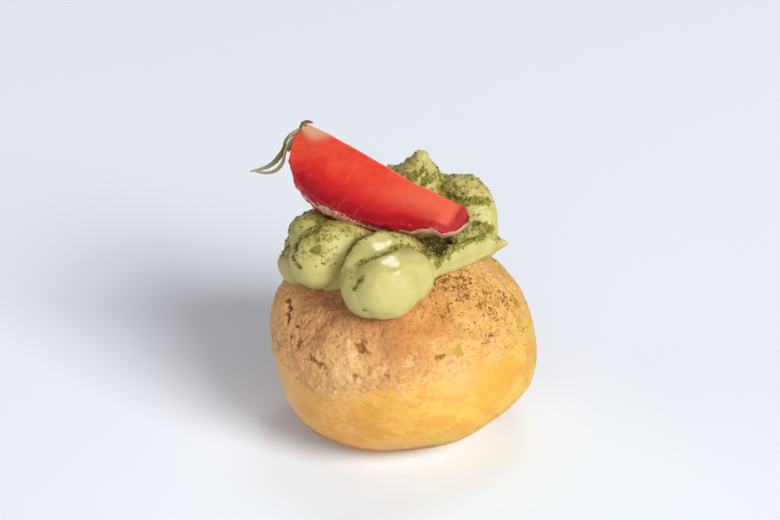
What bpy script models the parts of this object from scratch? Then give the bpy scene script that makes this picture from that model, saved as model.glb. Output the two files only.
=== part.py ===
"""A cream puff: a choux bun with a crackled crust, piped green cream, and a strawberry wedge with its sepals.

Metres, +Z up. The origin is the centre of the bun's flat foot, and the shown side faces -Y.
"""

import math
import random

import bmesh
import bpy
from mathutils import Matrix, Vector, noise

MM = 0.001

# Choux bun: an oval superellipsoid whose widest line tilts, cut flat at the foot
BUN_RADIUS = 25.2 * MM
BUN_HEIGHT = 38.6 * MM
BUN_WIDEST = 18.2 * MM  # height of the widest section
BUN_LOWER_DEPTH = 19.8 * MM  # from the widest section down to where the uncut bun would end
BUN_CENTRE = Vector((0.5, 0.7, 0)) * MM
BUN_OVAL = 0.034  # how much longer than round the bun is along BUN_OVAL_SIDE
BUN_OVAL_SIDE = math.radians(31)
BUN_TILT = (-0.14, 0.08)  # rise of the widest line along X and Y
# Exponent of the section: its mean, what is added on the left (-X) and what is added in front (-Y)
BUN_UPPER = (1.99, 0.17, 0.0)
BUN_LOWER = (2.29, 0.46, -0.17)
BUN_LUMP = 0.4 * MM
BUN_LUMP_SIZE = 11.0 * MM
BUN_SUBDIVISIONS = 7
BUN_KEPT_SHARE = 0.052  # of the fine triangles, kept where the relief is

# Crackled crust on the upper part of the bun
CRUST_EDGE = 20.2 * MM  # mean height of its ragged lower edge
CRUST_EDGE_RISE = 2.9 * MM  # the edge is this much higher on the side at CRUST_RISE_SIDE
CRUST_RISE_SIDE = math.radians(-20)
CRUST_EDGE_RAG = 1.8 * MM
CRUST_THICKNESS = 0.5 * MM
CRUST_STEP = 1.2 * MM  # height over which the crust reaches its thickness
CRUMB = 0.28 * MM
CRUMB_SIZE = 2.4 * MM
# Fissures of the crust as (depth, half width, points), each point an azimuth in degrees and a height in mm
FISSURES = (
    (1.5, 0.60, ((-163, 30.0), (-157, 29.5), (-156, 28.3))),
    (1.0, 0.65, ((-150, 26.9), (-145, 26.1), (-142, 25.3))),
    (1.1, 0.65, ((-136, 25.7), (-132, 24.5), (-129, 23.3))),
    (1.0, 0.70, ((-113, 28.4), (-111, 28.0), (-110, 27.3))),
    (0.8, 0.50, ((-112.5, 22.8), (-110.5, 22.7))),
    (0.7, 0.50, ((-99, 24.3), (-96, 22.7), (-92, 21.4), (-86, 20.7), (-81, 22.1))),
    (0.8, 0.60, ((-76, 25.8), (-74, 26.1), (-72, 26.1))),
    (0.7, 0.70, ((-65, 25.9), (-63, 26.6))),
    (0.8, 0.60, ((-47, 26.4), (-41, 26.3))),
    (0.6, 0.80, ((-35, 23.1), (-40, 21.5), (-44, 19.9))),
)
BACK_FISSURES = 9  # on the side away from view, by a seeded rule
BACK_FISSURE_SEED = 7

# Piped cream: ropes as points (x, y, height of the centre line above the bun, radius), in mm
CREAM_ROPES = {
    "bed_left": ((-15.0, 1.0, -2.0, 6.0), (-9.0, 5.0, -1.0, 6.5), (-1.0, 12.0, 0.0, 7.5),
        (7.0, 13.5, 0.5, 7.5)),
    "bed_front": ((-12.0, -5.0, -0.5, 5.5), (-5.0, -6.5, 0.5, 5.0), (-2.0, -2.0, 0.0, 4.5),
        (-3.0, 5.0, 0.0, 5.0)),
    "bed_right": ((2.5, -3.0, -2.0, 4.0), (6.0, 1.0, -2.2, 4.2), (8.0, 6.0, -1.8, 4.6),
        (8.5, 9.0, -1.0, 5.0)),
    "far_left": ((-19.8, -1.5, 3.0, 3.9), (-19.8, 4.0, 1.8, 3.4), (-17.5, 11.0, 3.3, 4.5),
        (-13.0, 16.0, 3.6, 4.7)),
    "left_upper": ((-16.7, 0.0, 5.9, 4.9), (-14.0, 5.0, 4.2, 5.0), (-8.4, 11.0, 4.5, 5.4),
        (-1.0, 15.0, 7.7, 5.4)),
    "left_front": ((-15.8, -6.5, 4.7, 5.6), (-13.2, -5.5, 4.9, 5.4), (-10.2, -4.5, 4.0, 4.8),
        (-6.3, -1.0, 1.1, 4.1)),
    "front_upper": ((-7.7, -13.0, 5.7, 4.0), (-5.7, -11.0, 5.9, 4.6), (-2.6, -8.5, 4.7, 3.7),
        (1.5, -6.0, 2.6, 2.4)),
    "front_lobe": ((-5.8, -15.5, 4.8, 5.8), (-3.1, -16.5, 6.4, 6.5), (0.2, -14.5, 5.6, 5.3)),
    "right_band": ((5.2, -9.0, 2.6, 2.7), (9.6, -3.5, 1.8, 2.6), (13.0, 0.5, 2.1, 2.6),
        (16.2, 4.0, 3.6, 2.3)),
    "right_ledge": ((9.7, 0.5, 0.6, 2.6), (11.9, 3.0, 1.4, 3.2), (14.9, 5.0, 3.0, 3.4)),
    "right_lobe": ((14.1, 6.0, 5.5, 4.0), (13.5, 7.5, 7.1, 4.6), (12.0, 10.0, 8.5, 5.3),
        (9.4, 13.0, 7.6, 5.3), (5.2, 15.0, 5.3, 5.1)),
    "back_lobe": ((12.0, 13.0, 5.8, 5.0), (7.6, 18.0, 6.8, 5.7), (0.4, 20.0, 6.3, 5.1)),
    "peak": ((1.7, 13.0, 7.3, 5.8), (2.8, 12.5, 11.1, 4.9), (3.4, 12.0, 15.2, 1.7)),
    "tail": ((15.3, 3.0, 3.9, 1.6), (17.2, 2.5, 5.9, 1.0), (18.9, 2.0, 7.9, 0.4)),
}
ROPE_STEPS = 6  # stations between two points of a rope
CREAM_VOXEL = 0.6 * MM
CREAM_SMOOTHING = 5
CREAM_KEPT_SHARE = 0.16

# Strawberry: a turned profile, of which a quarter is kept, with its ridge up and its skin down
BERRY_LENGTH = 36.2 * MM
BERRY_RADIUS = 13.65 * MM
BERRY_SHOULDER_POWER = 0.47
BERRY_TIP_POWER = 0.22
BERRY_TAPER = 0.74
BERRY_PIT = 0.6 * MM  # depth of the hollow the calyx sits in
BERRY_PIT_RADIUS = 6.0 * MM
BERRY_BOW = 0.75 * MM  # how far the ridge arches above a straight line
BERRY_BOW_SKEW = 0.62  # under 1 the arch is highest towards the calyx
BERRY_RINGS = 26
BERRY_SEGMENTS = 48
BERRY_ARC = math.radians(95)  # angle between the two cut faces
BERRY_SLOPE = math.radians(20.7)  # fall of the ridge towards the tip
BERRY_SWING = math.radians(-25)  # turn of the tip towards the viewer
BERRY_ROLL = math.radians(-16.5)  # lean of the skin towards the viewer
BERRY_START = Vector((-18.8, 10.0, 59.5)) * MM  # where the berry's axis enters its calyx end

# Calyx: a hub in the pit and dried sepals, each a line of (x, y, z, half width) from the pit, in mm
HUB_SIZE = Vector((0.7, 1.2, 1.1)) * MM  # half sizes, the first along the berry
HUB_PLACE = Vector((-0.3, 0.0, -0.8)) * MM  # from the pit, in the berry's own frame
SEPAL_THICKNESS = 0.5 * MM
SEPAL_STEPS = 3
SEPAL_CURL = 0.4  # height of the folded middle, as a share of the half width
SEPALS = {
    "blade": (
        (-0.3, -0.3, -0.5, 0.55), (-1.8, -0.8, -1.1, 0.6), (-3.1, -1.2, -1.7, 0.45),
        (-4.0, -1.4, -2.8, 0.35), (-4.3, -1.6, -4.1, 0.4), (-5.3, -1.8, -5.9, 0.6),
        (-6.8, -2.0, -7.4, 0.5), (-8.7, -2.2, -8.2, 0.4), (-10.7, -2.3, -8.6, 0.2)),
    "strand": (
        (-0.5, -0.9, -0.9, 0.45), (-2.1, -1.9, -1.7, 0.45), (-3.4, -2.4, -2.9, 0.35),
        (-4.1, -2.6, -4.7, 0.35), (-4.6, -2.7, -6.7, 0.4), (-5.9, -2.6, -8.3, 0.4),
        (-7.8, -2.4, -8.9, 0.3), (-9.7, -2.3, -8.6, 0.25)),
    "short": (
        (-1.4, -1.6, -1.3, 0.35), (-2.3, -2.6, -2.2, 0.4), (-2.9, -3.1, -3.0, 0.35),
        (-3.4, -3.4, -4.0, 0.2)),
    "crown": (
        (-0.5, 0.0, -0.6, 0.4), (-0.8, 0.4, 0.0, 0.4), (0.2, 1.0, 0.2, 0.35), (1.1, 1.4, -0.2, 0.2)),
}

GAP = 0.3 * MM  # kept between pieces that rest on each other

COLOURS = {  # base colour, roughness
    "choux_bun": ((0.80, 0.47, 0.14, 1), 0.75),
    "piped_cream": ((0.62, 0.60, 0.22, 1), 0.45),
    "strawberry_wedge": ((0.72, 0.05, 0.02, 1), 0.30),
    "strawberry_calyx": ((0.22, 0.22, 0.08, 1), 0.80),
}


def material(name):
    colour, roughness = COLOURS[name]
    made = bpy.data.materials.new(name)
    made.use_nodes = True
    shader = made.node_tree.nodes["Principled BSDF"]
    shader.inputs["Base Color"].default_value = colour
    shader.inputs["Roughness"].default_value = roughness
    shader.inputs["Metallic"].default_value = 0.0
    return made


def add_object(name, mesh, collection):
    made = bpy.data.objects.new(name, mesh)
    collection.objects.link(made)
    return made


def evaluated_mesh(source):
    """The object's mesh with its modifiers, as a new mesh."""
    bpy.context.view_layer.update()
    graph = bpy.context.evaluated_depsgraph_get()
    return bpy.data.meshes.new_from_object(source.evaluated_get(graph))


def mesh_from(shape, name):
    mesh = bpy.data.meshes.new(name)
    shape.to_mesh(mesh)
    shape.free()
    return mesh


def smoothstep(x):
    x = min(1.0, max(0.0, x))
    return x * x * (3 - 2 * x)


# ---- choux bun -----------------------------------------------------------------------------------


def bun_point(azimuth, elevation):
    """Point of the smooth bun in a direction from the centre of its widest section."""
    flat, up = math.cos(elevation), math.sin(elevation)
    x, y = math.cos(azimuth), math.sin(azimuth)
    mean, left, front = BUN_UPPER if up > 0 else BUN_LOWER
    depth = BUN_HEIGHT - BUN_WIDEST if up > 0 else BUN_LOWER_DEPTH
    power = mean - (left * x + front * y) * min(1.0, 3 * flat)
    scale = (flat**power + abs(up) ** power) ** (-1 / power)
    across = flat * scale * BUN_RADIUS * (1 + BUN_OVAL * math.cos(2 * (azimuth - BUN_OVAL_SIDE)))
    tilt = (BUN_TILT[0] * x + BUN_TILT[1] * y) * across * (1 - abs(up))
    return BUN_CENTRE + Vector((across * x, across * y, BUN_WIDEST + up * scale * depth + tilt))


def bun_at(azimuth, height):
    """Point of the smooth bun at an azimuth and a height."""
    low, high = -math.pi / 2, math.pi / 2
    for _ in range(24):
        middle = (low + high) / 2
        if bun_point(azimuth, middle).z < height:
            low = middle
        else:
            high = middle
    return bun_point(azimuth, (low + high) / 2)


def bun_top(x, y):
    """Height of the smooth bun above a point (x, y)."""
    flat = Vector((x - BUN_CENTRE.x, y - BUN_CENTRE.y))
    azimuth = math.atan2(flat.y, flat.x)
    low, high = 0.0, math.pi / 2
    for _ in range(24):
        middle = (low + high) / 2
        if (bun_point(azimuth, middle) - BUN_CENTRE).xy.length > flat.length:
            low = middle
        else:
            high = middle
    return bun_point(azimuth, (low + high) / 2).z


def fissures():
    """All fissures as (depth, half width, points on the bun)."""
    made = [
        (depth * MM, width * MM, [bun_at(math.radians(a), z * MM) for a, z in points])
        for depth, width, points in FISSURES
    ]
    draw = random.Random(BACK_FISSURE_SEED)
    for i in range(BACK_FISSURES):
        azimuth = math.radians(25 + 140 * (i + 0.5) / BACK_FISSURES + draw.uniform(-6, 6))
        height = draw.uniform(24, 31) * MM
        points = [bun_at(azimuth, height)]
        for _ in range(2):
            azimuth += math.radians(draw.uniform(3, 8)) * draw.choice((-1, 1))
            height -= draw.uniform(0.8, 2.2) * MM
            points.append(bun_at(azimuth, height))
        made.append((draw.uniform(0.7, 1.3) * MM, draw.uniform(0.6, 0.9) * MM, points))
    return made


def distance_to_line(point, line):
    nearest = math.inf
    for start, end in zip(line, line[1:]):
        along = end - start
        share = min(1.0, max(0.0, (point - start).dot(along) / along.length_squared))
        nearest = min(nearest, (point - start - along * share).length)
    return nearest


def bun_relief(point, cracks):
    """How far the crust stands out of the smooth bun at a point of it."""
    azimuth = math.atan2(point.y - BUN_CENTRE.y, point.x - BUN_CENTRE.x)
    edge = CRUST_EDGE + CRUST_EDGE_RISE * math.cos(azimuth - CRUST_RISE_SIDE)
    edge += CRUST_EDGE_RAG * noise.noise(point / (5 * MM))
    on_crust = smoothstep((point.z - edge) / CRUST_STEP)
    relief = BUN_LUMP * noise.noise(point / BUN_LUMP_SIZE)
    relief += on_crust * (CRUST_THICKNESS + CRUMB * noise.noise(point / CRUMB_SIZE))
    for depth, width, line in cracks:
        far = distance_to_line(point, line) / width
        if far < 3:
            relief -= depth * math.exp(-far * far)
    return relief


def bun_shape(subdivisions, relief_at, growth=0.0):
    """The bun as a closed shape from a sphere, cut flat at its foot."""
    shape = bmesh.new()
    bmesh.ops.create_icosphere(shape, subdivisions=subdivisions, radius=1.0)
    centre = BUN_CENTRE + Vector((0, 0, BUN_WIDEST))
    for vertex in shape.verts:
        x, y, z = vertex.co.normalized()
        point = bun_point(math.atan2(y, x), math.atan2(z, math.hypot(x, y)))
        outward = (point - centre).normalized()
        vertex.co = point + outward * (relief_at(point) + growth)
    cut = bmesh.ops.bisect_plane(
        shape,
        geom=shape.verts[:] + shape.edges[:] + shape.faces[:],
        plane_co=(0, 0, 0),
        plane_no=(0, 0, -1),
        clear_outer=True,
    )
    rim = [e for e in cut["geom_cut"] if isinstance(e, bmesh.types.BMEdge)]
    bmesh.ops.edgeloop_fill(shape, edges=rim)
    bmesh.ops.recalc_face_normals(shape, faces=shape.faces)
    return shape


def choux_bun(collection):
    cracks = fissures()
    shape = bun_shape(BUN_SUBDIVISIONS, lambda point: bun_relief(point, cracks))
    made = add_object("choux_bun", mesh_from(shape, "choux_bun"), collection)
    thin = made.modifiers.new("fewer_triangles", "DECIMATE")
    thin.ratio = BUN_KEPT_SHARE
    return made


def bun_cutter(collection):
    """The smooth bun, grown past its crust and lumps, that shapes the underside of the cream."""
    outside = GAP + CRUST_THICKNESS + 0.5 * (CRUMB + BUN_LUMP)
    shape = bun_shape(4, lambda point: 0.0, outside)
    return cutter("bun_cutter", mesh_from(shape, "bun_cutter"), collection)


def cutter(name, mesh, collection):
    made = add_object(name, mesh, collection)
    made.hide_render = True
    made.display_type = "WIRE"
    return made


# ---- piped cream ---------------------------------------------------------------------------------


def between(a, b, c, d, t):
    """Catmull-Rom value at a share t of the way from b to c."""
    bend = 2 * a - 5 * b + 4 * c - d
    twist = 3 * b - 3 * c + d - a
    return 0.5 * (2 * b + (c - a) * t + bend * t**2 + twist * t**3)


def smooth_stations(points, steps):
    """Catmull-Rom stations through points of any dimension."""
    ends = [tuple(2 * a - b for a, b in zip(points[0], points[1])), *points]
    ends.append(tuple(2 * a - b for a, b in zip(points[-1], points[-2])))
    made = []
    for i in range(len(points) - 1):
        p0, p1, p2, p3 = ends[i : i + 4]
        last = i == len(points) - 2
        for k in range(steps + last):
            made.append(tuple(between(*values, k / steps) for values in zip(p0, p1, p2, p3)))
    return made


def rope_stations(points):
    """Centre line and radius of a rope of cream, in metres."""
    return [
        (Vector((x * MM, y * MM, bun_top(x * MM, y * MM) + lift * MM)), radius * MM)
        for x, y, lift, radius in smooth_stations(points, ROPE_STEPS)
    ]


def rope(name, points, collection):
    """One rope of cream as a bevelled curve, with a ball at each end."""
    stations = rope_stations(points)
    curve = bpy.data.curves.new(name, "CURVE")
    curve.dimensions = "3D"
    curve.bevel_depth = 1.0
    curve.bevel_resolution = 5
    curve.use_fill_caps = True
    spline = curve.splines.new("POLY")
    spline.points.add(len(stations) - 1)
    for point, (place, radius) in zip(spline.points, stations):
        point.co = (*place, 1)
        point.radius = radius
    tube = add_object(name, curve, collection)
    shape = bmesh.new()
    shape.from_mesh(evaluated_mesh(tube))
    bmesh.ops.remove_doubles(shape, verts=shape.verts, dist=0.01 * MM)
    for place, radius in (stations[0], stations[-1]):
        bmesh.ops.create_icosphere(shape, subdivisions=3, radius=radius, matrix=Matrix.Translation(place))
    bpy.data.objects.remove(tube)
    return shape


def piped_cream(collection, cutters):
    whole = bmesh.new()
    for name, points in CREAM_ROPES.items():
        mesh = mesh_from(rope(name, points, collection), name)
        whole.from_mesh(mesh)
    made = add_object("piped_cream", mesh_from(whole, "piped_cream"), collection)
    merge = made.modifiers.new("merge_ropes", "REMESH")
    merge.mode = "VOXEL"
    merge.voxel_size = CREAM_VOXEL
    soften = made.modifiers.new("soften", "SMOOTH")
    soften.iterations = CREAM_SMOOTHING
    thin = made.modifiers.new("fewer_triangles", "DECIMATE")
    thin.ratio = CREAM_KEPT_SHARE
    for tool in cutters:
        cut = made.modifiers.new("clear_of_" + tool.name, "BOOLEAN")
        cut.operation = "DIFFERENCE"
        cut.object = tool
    return made


# ---- strawberry ----------------------------------------------------------------------------------


def berry_radius(share):
    """Radius of the whole strawberry at a share of its length from the calyx."""

    def raw(u):
        return u**BERRY_SHOULDER_POWER * (1 - u) ** BERRY_TIP_POWER * (1 - BERRY_TAPER * u)

    widest = max(raw(i / 200) for i in range(1, 200))
    return BERRY_RADIUS * raw(min(1.0, max(0.0, share))) / widest


def berry_frame():
    """Matrix to the part's frame from the berry's own, with its axis +X and the middle of the wedge -Z."""
    return (
        Matrix.Translation(BERRY_START)
        @ Matrix.Rotation(BERRY_SWING, 4, "Z")
        @ Matrix.Rotation(BERRY_SLOPE, 4, "Y")
        @ Matrix.Rotation(BERRY_ROLL, 4, "X")
    )


def wedge_shape(growth=0.0):
    """A quarter of the strawberry: turned profile, then cut along two planes through its axis."""
    shape = bmesh.new()
    bmesh.ops.create_uvsphere(shape, u_segments=BERRY_SEGMENTS, v_segments=BERRY_RINGS, radius=1.0)
    for vertex in shape.verts:
        share = 0.5 * (1 - vertex.co.z)
        across = math.hypot(vertex.co.x, vertex.co.y)
        radius = berry_radius(share) if across > 1e-6 else 0.0
        scale = (radius + growth) / across if across > 1e-6 else 0.0
        along = share * BERRY_LENGTH + growth * (2 * share - 1)
        if share < 0.3:
            along += BERRY_PIT * max(0.0, 1 - radius / BERRY_PIT_RADIUS) ** 2
        vertex.co = (along, vertex.co.x * scale, vertex.co.y * scale)
    half = BERRY_ARC / 2
    for side in (1, -1):
        outward = Vector((0, side * math.cos(half), math.sin(half)))
        cut = bmesh.ops.bisect_plane(
            shape,
            geom=shape.verts[:] + shape.edges[:] + shape.faces[:],
            plane_co=outward * growth,
            plane_no=outward,
            clear_outer=True,
        )
        rim = [e for e in cut["geom_cut"] if isinstance(e, bmesh.types.BMEdge)]
        bmesh.ops.edgeloop_fill(shape, edges=rim)
    bow_wedge(shape, growth)
    bmesh.ops.remove_doubles(shape, verts=shape.verts, dist=0.02 * MM)
    bmesh.ops.recalc_face_normals(shape, faces=shape.faces)
    bmesh.ops.transform(shape, matrix=berry_frame(), verts=shape.verts)
    return shape


def bow_wedge(shape, growth):
    """Split the cut faces at every ring of the skin, then arch the whole along its length."""
    for k in range(4, BERRY_RINGS):
        share = 0.5 * (1 - math.cos(math.pi * k / BERRY_RINGS))
        bmesh.ops.bisect_plane(
            shape,
            geom=shape.verts[:] + shape.edges[:] + shape.faces[:],
            dist=0.001 * MM,
            plane_co=(share * BERRY_LENGTH + growth * (2 * share - 1), 0, 0),
            plane_no=(1, 0, 0),
        )
    for vertex in shape.verts:
        share = min(1.0, max(0.0, vertex.co.x / BERRY_LENGTH))
        vertex.co.z += BERRY_BOW * math.sin(math.pi * share**BERRY_BOW_SKEW)


def strawberry_wedge(collection):
    return add_object("strawberry_wedge", mesh_from(wedge_shape(), "strawberry_wedge"), collection)


def wedge_cutter(collection):
    return cutter("wedge_cutter", mesh_from(wedge_shape(GAP), "wedge_cutter"), collection)


# ---- calyx ---------------------------------------------------------------------------------------


def sepal(name, points, collection):
    """A thin folded leaf along a line: a grid with both faces split alike, thickened."""
    stations = smooth_stations(points, SEPAL_STEPS)
    shape = bmesh.new()
    rows = []
    for i, (x, y, z, half_width) in enumerate(stations):
        before, after = stations[max(i - 1, 0)], stations[min(i + 1, len(stations) - 1)]
        along = Vector([b - a for a, b in zip(before[:3], after[:3])]).normalized()
        across = along.cross(Vector((0.2, 0.3, 1.0))).normalized()
        normal = across.cross(along).normalized()
        row = []
        for k in (-1, -0.5, 0, 0.5, 1):
            fold = SEPAL_CURL * half_width * (1 - abs(k))
            row.append(shape.verts.new((Vector((x, y, z)) + across * half_width * k + normal * fold) * MM))
        rows.append(row)
    for upper, lower in zip(rows, rows[1:]):
        for k in range(len(upper) - 1):
            shape.faces.new((upper[k], upper[k + 1], lower[k + 1]))
            shape.faces.new((upper[k], lower[k + 1], lower[k]))
    made = add_object(name, mesh_from(shape, name), collection)
    made.location = berry_frame() @ Vector((BERRY_PIT, 0, 0))
    thicken = made.modifiers.new("thickness", "SOLIDIFY")
    thicken.thickness = SEPAL_THICKNESS
    thicken.offset = 0
    return made


def calyx_hub(collection):
    """The knob in the berry's pit that the sepals grow from."""
    shape = bmesh.new()
    bmesh.ops.create_icosphere(shape, subdivisions=2, radius=1.0)
    place = Matrix.Translation(HUB_PLACE + Vector((BERRY_PIT, 0, 0))) @ Matrix.Diagonal((*HUB_SIZE, 1))
    bmesh.ops.transform(shape, matrix=berry_frame() @ place, verts=shape.verts)
    return add_object("calyx_hub", mesh_from(shape, "calyx_hub"), collection)


def joined(name, collection, pieces_in):
    """One solid from the overlapping pieces of a collection, which are then removed."""
    first, *_ = pieces_in.objects
    made = add_object(name, evaluated_mesh(first), collection)
    made.matrix_world = first.matrix_world.copy()
    bpy.data.objects.remove(first)
    join = made.modifiers.new("join", "BOOLEAN")
    join.operation = "UNION"
    join.operand_type = "COLLECTION"
    join.collection = pieces_in
    mesh = evaluated_mesh(made)
    made.modifiers.clear()
    made.data = mesh
    for piece in list(pieces_in.objects):
        bpy.data.objects.remove(piece)
    return made


def strawberry_calyx(collection, cutters):
    pieces = bpy.data.collections.new("calyx_pieces")
    bpy.context.scene.collection.children.link(pieces)
    calyx_hub(pieces)
    for name, points in SEPALS.items():
        sepal("sepal_" + name, points, pieces)
    made = joined("strawberry_calyx", collection, pieces)
    bpy.data.collections.remove(pieces)
    for tool in cutters:
        cut = made.modifiers.new("clear_of_" + tool.name, "BOOLEAN")
        cut.operation = "DIFFERENCE"
        cut.object = tool
    return made


# ---- the whole -----------------------------------------------------------------------------------


def main():
    for old in list(bpy.data.objects):
        bpy.data.objects.remove(old)
    puff = bpy.data.collections.new("cream_puff")
    cutters = bpy.data.collections.new("cutters")
    for collection in (puff, cutters):
        bpy.context.scene.collection.children.link(collection)
    bun_tool = bun_cutter(cutters)
    wedge_tool = wedge_cutter(cutters)
    made = [
        choux_bun(puff),
        piped_cream(puff, [bun_tool, wedge_tool]),
        strawberry_wedge(puff),
        strawberry_calyx(puff, [wedge_tool]),
    ]
    for piece in made:
        piece.data.materials.clear()
        piece.data.materials.append(material(piece.name))
        piece.data.shade_smooth()


main()
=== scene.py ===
"""Looks of a cream puff: choux bun, piped green cream with powder, a strawberry wedge and its sepals.

Metres, +Z up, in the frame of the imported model; tables and the sizes of noise are in mm. The shown
side faces -Y.
"""

import math
import random

import bmesh
import bpy
import numpy as np
from mathutils import Matrix, Vector, noise


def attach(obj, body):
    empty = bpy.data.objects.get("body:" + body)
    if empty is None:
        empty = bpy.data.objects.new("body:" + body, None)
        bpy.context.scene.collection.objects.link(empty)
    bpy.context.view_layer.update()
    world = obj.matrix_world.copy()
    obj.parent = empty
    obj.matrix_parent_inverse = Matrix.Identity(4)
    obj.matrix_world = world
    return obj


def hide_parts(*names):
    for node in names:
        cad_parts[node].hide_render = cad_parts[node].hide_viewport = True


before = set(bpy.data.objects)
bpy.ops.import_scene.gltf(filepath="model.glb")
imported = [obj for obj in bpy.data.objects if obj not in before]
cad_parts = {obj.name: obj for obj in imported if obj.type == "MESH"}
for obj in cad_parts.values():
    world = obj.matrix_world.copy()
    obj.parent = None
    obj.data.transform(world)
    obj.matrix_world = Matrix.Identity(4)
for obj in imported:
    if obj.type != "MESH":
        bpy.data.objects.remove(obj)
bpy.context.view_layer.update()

MM = 0.001

# ---- sizes taken over from the part's source ----

BUN_RADIUS = 25.2 * MM
BUN_HEIGHT = 38.6 * MM
BUN_WIDEST = 18.2 * MM
BUN_LOWER_DEPTH = 19.8 * MM
BUN_CENTRE = np.array((0.5, 0.7, 0.0)) * MM
BUN_OVAL = 0.034
BUN_OVAL_SIDE = math.radians(31)
BUN_TILT = (-0.14, 0.08)
BUN_UPPER = (1.99, 0.17, 0.0)
BUN_LOWER = (2.29, 0.46, -0.17)
CRUST_EDGE = 20.2 * MM
CRUST_EDGE_RISE = 2.9 * MM
CRUST_RISE_SIDE = math.radians(-20)
CRUST_EDGE_RAG = 1.8 * MM
CRUST_STEP = 1.2 * MM
BACK_FISSURES = 9
BACK_FISSURE_SEED = 7

# Relief of the bun and how large its lumps are, in mm
BUN_LUMP = 0.4
BUN_LUMP_SIZE = 11.0
CRUST_THICKNESS = 0.5
CRUMB = 0.28
CRUMB_SIZE = 2.4

# Stations of each rope, as (x, y, height over the bun, radius). The right band stands back behind
# the ropes of its wall, and the tail is wider than in the source.
CREAM_ROPES = {
    "bed_left": ((-15, 1, -2, 6), (-9, 5, -1, 6.5), (-1, 12, 0, 7.5), (7, 13.5, 0.5, 7.5)),
    "bed_front": ((-12, -5, -0.5, 5.5), (-5, -6.5, 0.5, 5), (-2, -2, 0, 4.5), (-3, 5, 0, 5)),
    "bed_right": ((2.5, -3, -2, 4), (6, 1, -2.2, 4.2), (8, 6, -1.8, 4.6), (8.5, 9, -1, 5)),
    "far_left": ((-19.8, -1.5, 3, 3.9), (-19.8, 4, 1.8, 3.4), (-17.5, 11, 3.3, 4.5), (-13, 16, 3.6, 4.7)),
    "left_upper": ((-16.7, 0, 5.9, 4.9), (-14, 5, 4.2, 5), (-8.4, 11, 4.5, 5.4), (-1, 15, 7.7, 5.4)),
    "left_front": ((-15.8, -6.5, 4.7, 5.6), (-13.2, -5.5, 4.9, 5.4), (-10.2, -4.5, 4, 4.8),
        (-6.3, -1, 1.1, 4.1)),
    "front_upper": ((-7.7, -13, 5.7, 4), (-5.7, -11, 5.9, 4.6), (-2.6, -8.5, 4.7, 3.7),
        (1.5, -6, 2.6, 2.4)),
    "front_lobe": ((-5.8, -15.5, 4.8, 5.8), (-3.1, -16.5, 6.4, 6.5), (0.2, -14.5, 5.6, 5.3)),
    "right_band": ((4.7, -7.8, 2.4, 2.4), (9.1, -2.3, 1.6, 2.3), (12.5, 1.7, 1.9, 2.3),
        (15.7, 5.2, 3.4, 2)),
    "right_ledge": ((9.7, 0.5, 0.6, 2.6), (11.9, 3, 1.4, 3.2), (14.9, 5, 3, 3.4)),
    "right_lobe": ((14.1, 6, 5.5, 4), (13.5, 7.5, 7.1, 4.6), (12, 10, 8.5, 5.3), (9.4, 13, 7.6, 5.3),
        (5.2, 15, 5.3, 5.1)),
    "back_lobe": ((12, 13, 5.8, 5), (7.6, 18, 6.8, 5.7), (0.4, 20, 6.3, 5.1)),
    "peak": ((1.7, 13, 7.3, 5.8), (2.8, 12.5, 11.1, 4.9), (3.4, 12, 15.2, 1.7)),
    "tail": ((14.6, 3.6, 3.4, 2.4), (16.9, 2.9, 5.2, 1.7), (18.8, 2.2, 7.4, 0.8), (19.7, 2, 8.4, 0.3)),
}
ROPE_STEPS = 6

BERRY_LENGTH = 36.2 * MM
BERRY_RADIUS = 13.65 * MM
BERRY_SHOULDER_POWER = 0.47
BERRY_TIP_POWER = 0.22
BERRY_TAPER = 0.74
BERRY_PIT = 0.6 * MM
BERRY_PIT_RADIUS = 6.0 * MM
BERRY_BOW = 0.75 * MM
BERRY_BOW_SKEW = 0.62
BERRY_ARC = math.radians(95)
BERRY_SLOPE = math.radians(20.7)
BERRY_SWING = math.radians(-25)
BERRY_ROLL = math.radians(-16.5)
BERRY_START = Vector((-18.8, 10.0, 59.5)) * MM
HUB_SIZE = Vector((0.7, 1.2, 1.1)) * MM
HUB_PLACE = Vector((-0.3, 0.0, -0.8)) * MM
# Stations of each sepal from the berry's pit, as (x, y, z, half width)
SEPALS = {
    "blade": ((-0.3, -0.3, -0.5, 0.55), (-1.8, -0.8, -1.1, 0.6), (-3.1, -1.2, -1.7, 0.45),
        (-4, -1.4, -2.8, 0.35), (-4.3, -1.6, -4.1, 0.4), (-5.3, -1.8, -5.9, 0.6), (-6.8, -2, -7.4, 0.5),
        (-8.7, -2.2, -8.2, 0.4), (-10.7, -2.3, -8.6, 0.2)),
    "strand": ((-0.5, -0.9, -0.9, 0.45), (-2.1, -1.9, -1.7, 0.45), (-3.4, -2.4, -2.9, 0.35),
        (-4.1, -2.6, -4.7, 0.35), (-4.6, -2.7, -6.7, 0.4), (-5.9, -2.6, -8.3, 0.4),
        (-7.8, -2.4, -8.9, 0.3), (-9.7, -2.3, -8.6, 0.25)),
    "short": ((-1.4, -1.6, -1.3, 0.35), (-2.3, -2.6, -2.2, 0.4), (-2.9, -3.1, -3, 0.35),
        (-3.4, -3.4, -4, 0.2)),
    "crown": ((-0.5, 0, -0.6, 0.4), (-0.8, 0.4, 0, 0.4), (0.2, 1, 0.2, 0.35), (1.1, 1.4, -0.2, 0.2)),
}

# ---- numbers and meshes ----


def fade(x):
    """Smooth step from 0 to 1."""
    x = np.clip(x, 0.0, 1.0)
    return x * x * (3 - 2 * x)


def waves(points, size, seed=0):
    """Smooth noise from about -0.7 to 0.7, one lump to each size in mm."""
    return np.array([noise.noise(p) for p in (points / (size * MM) + 9.7 * seed).tolist()])


def layers(points, size, count, seed=0):
    """Noise of several sizes, the largest in mm and each half as large as the last."""
    return sum(0.55**i * waves(points, size / 2**i, seed + i) for i in range(count))


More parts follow.
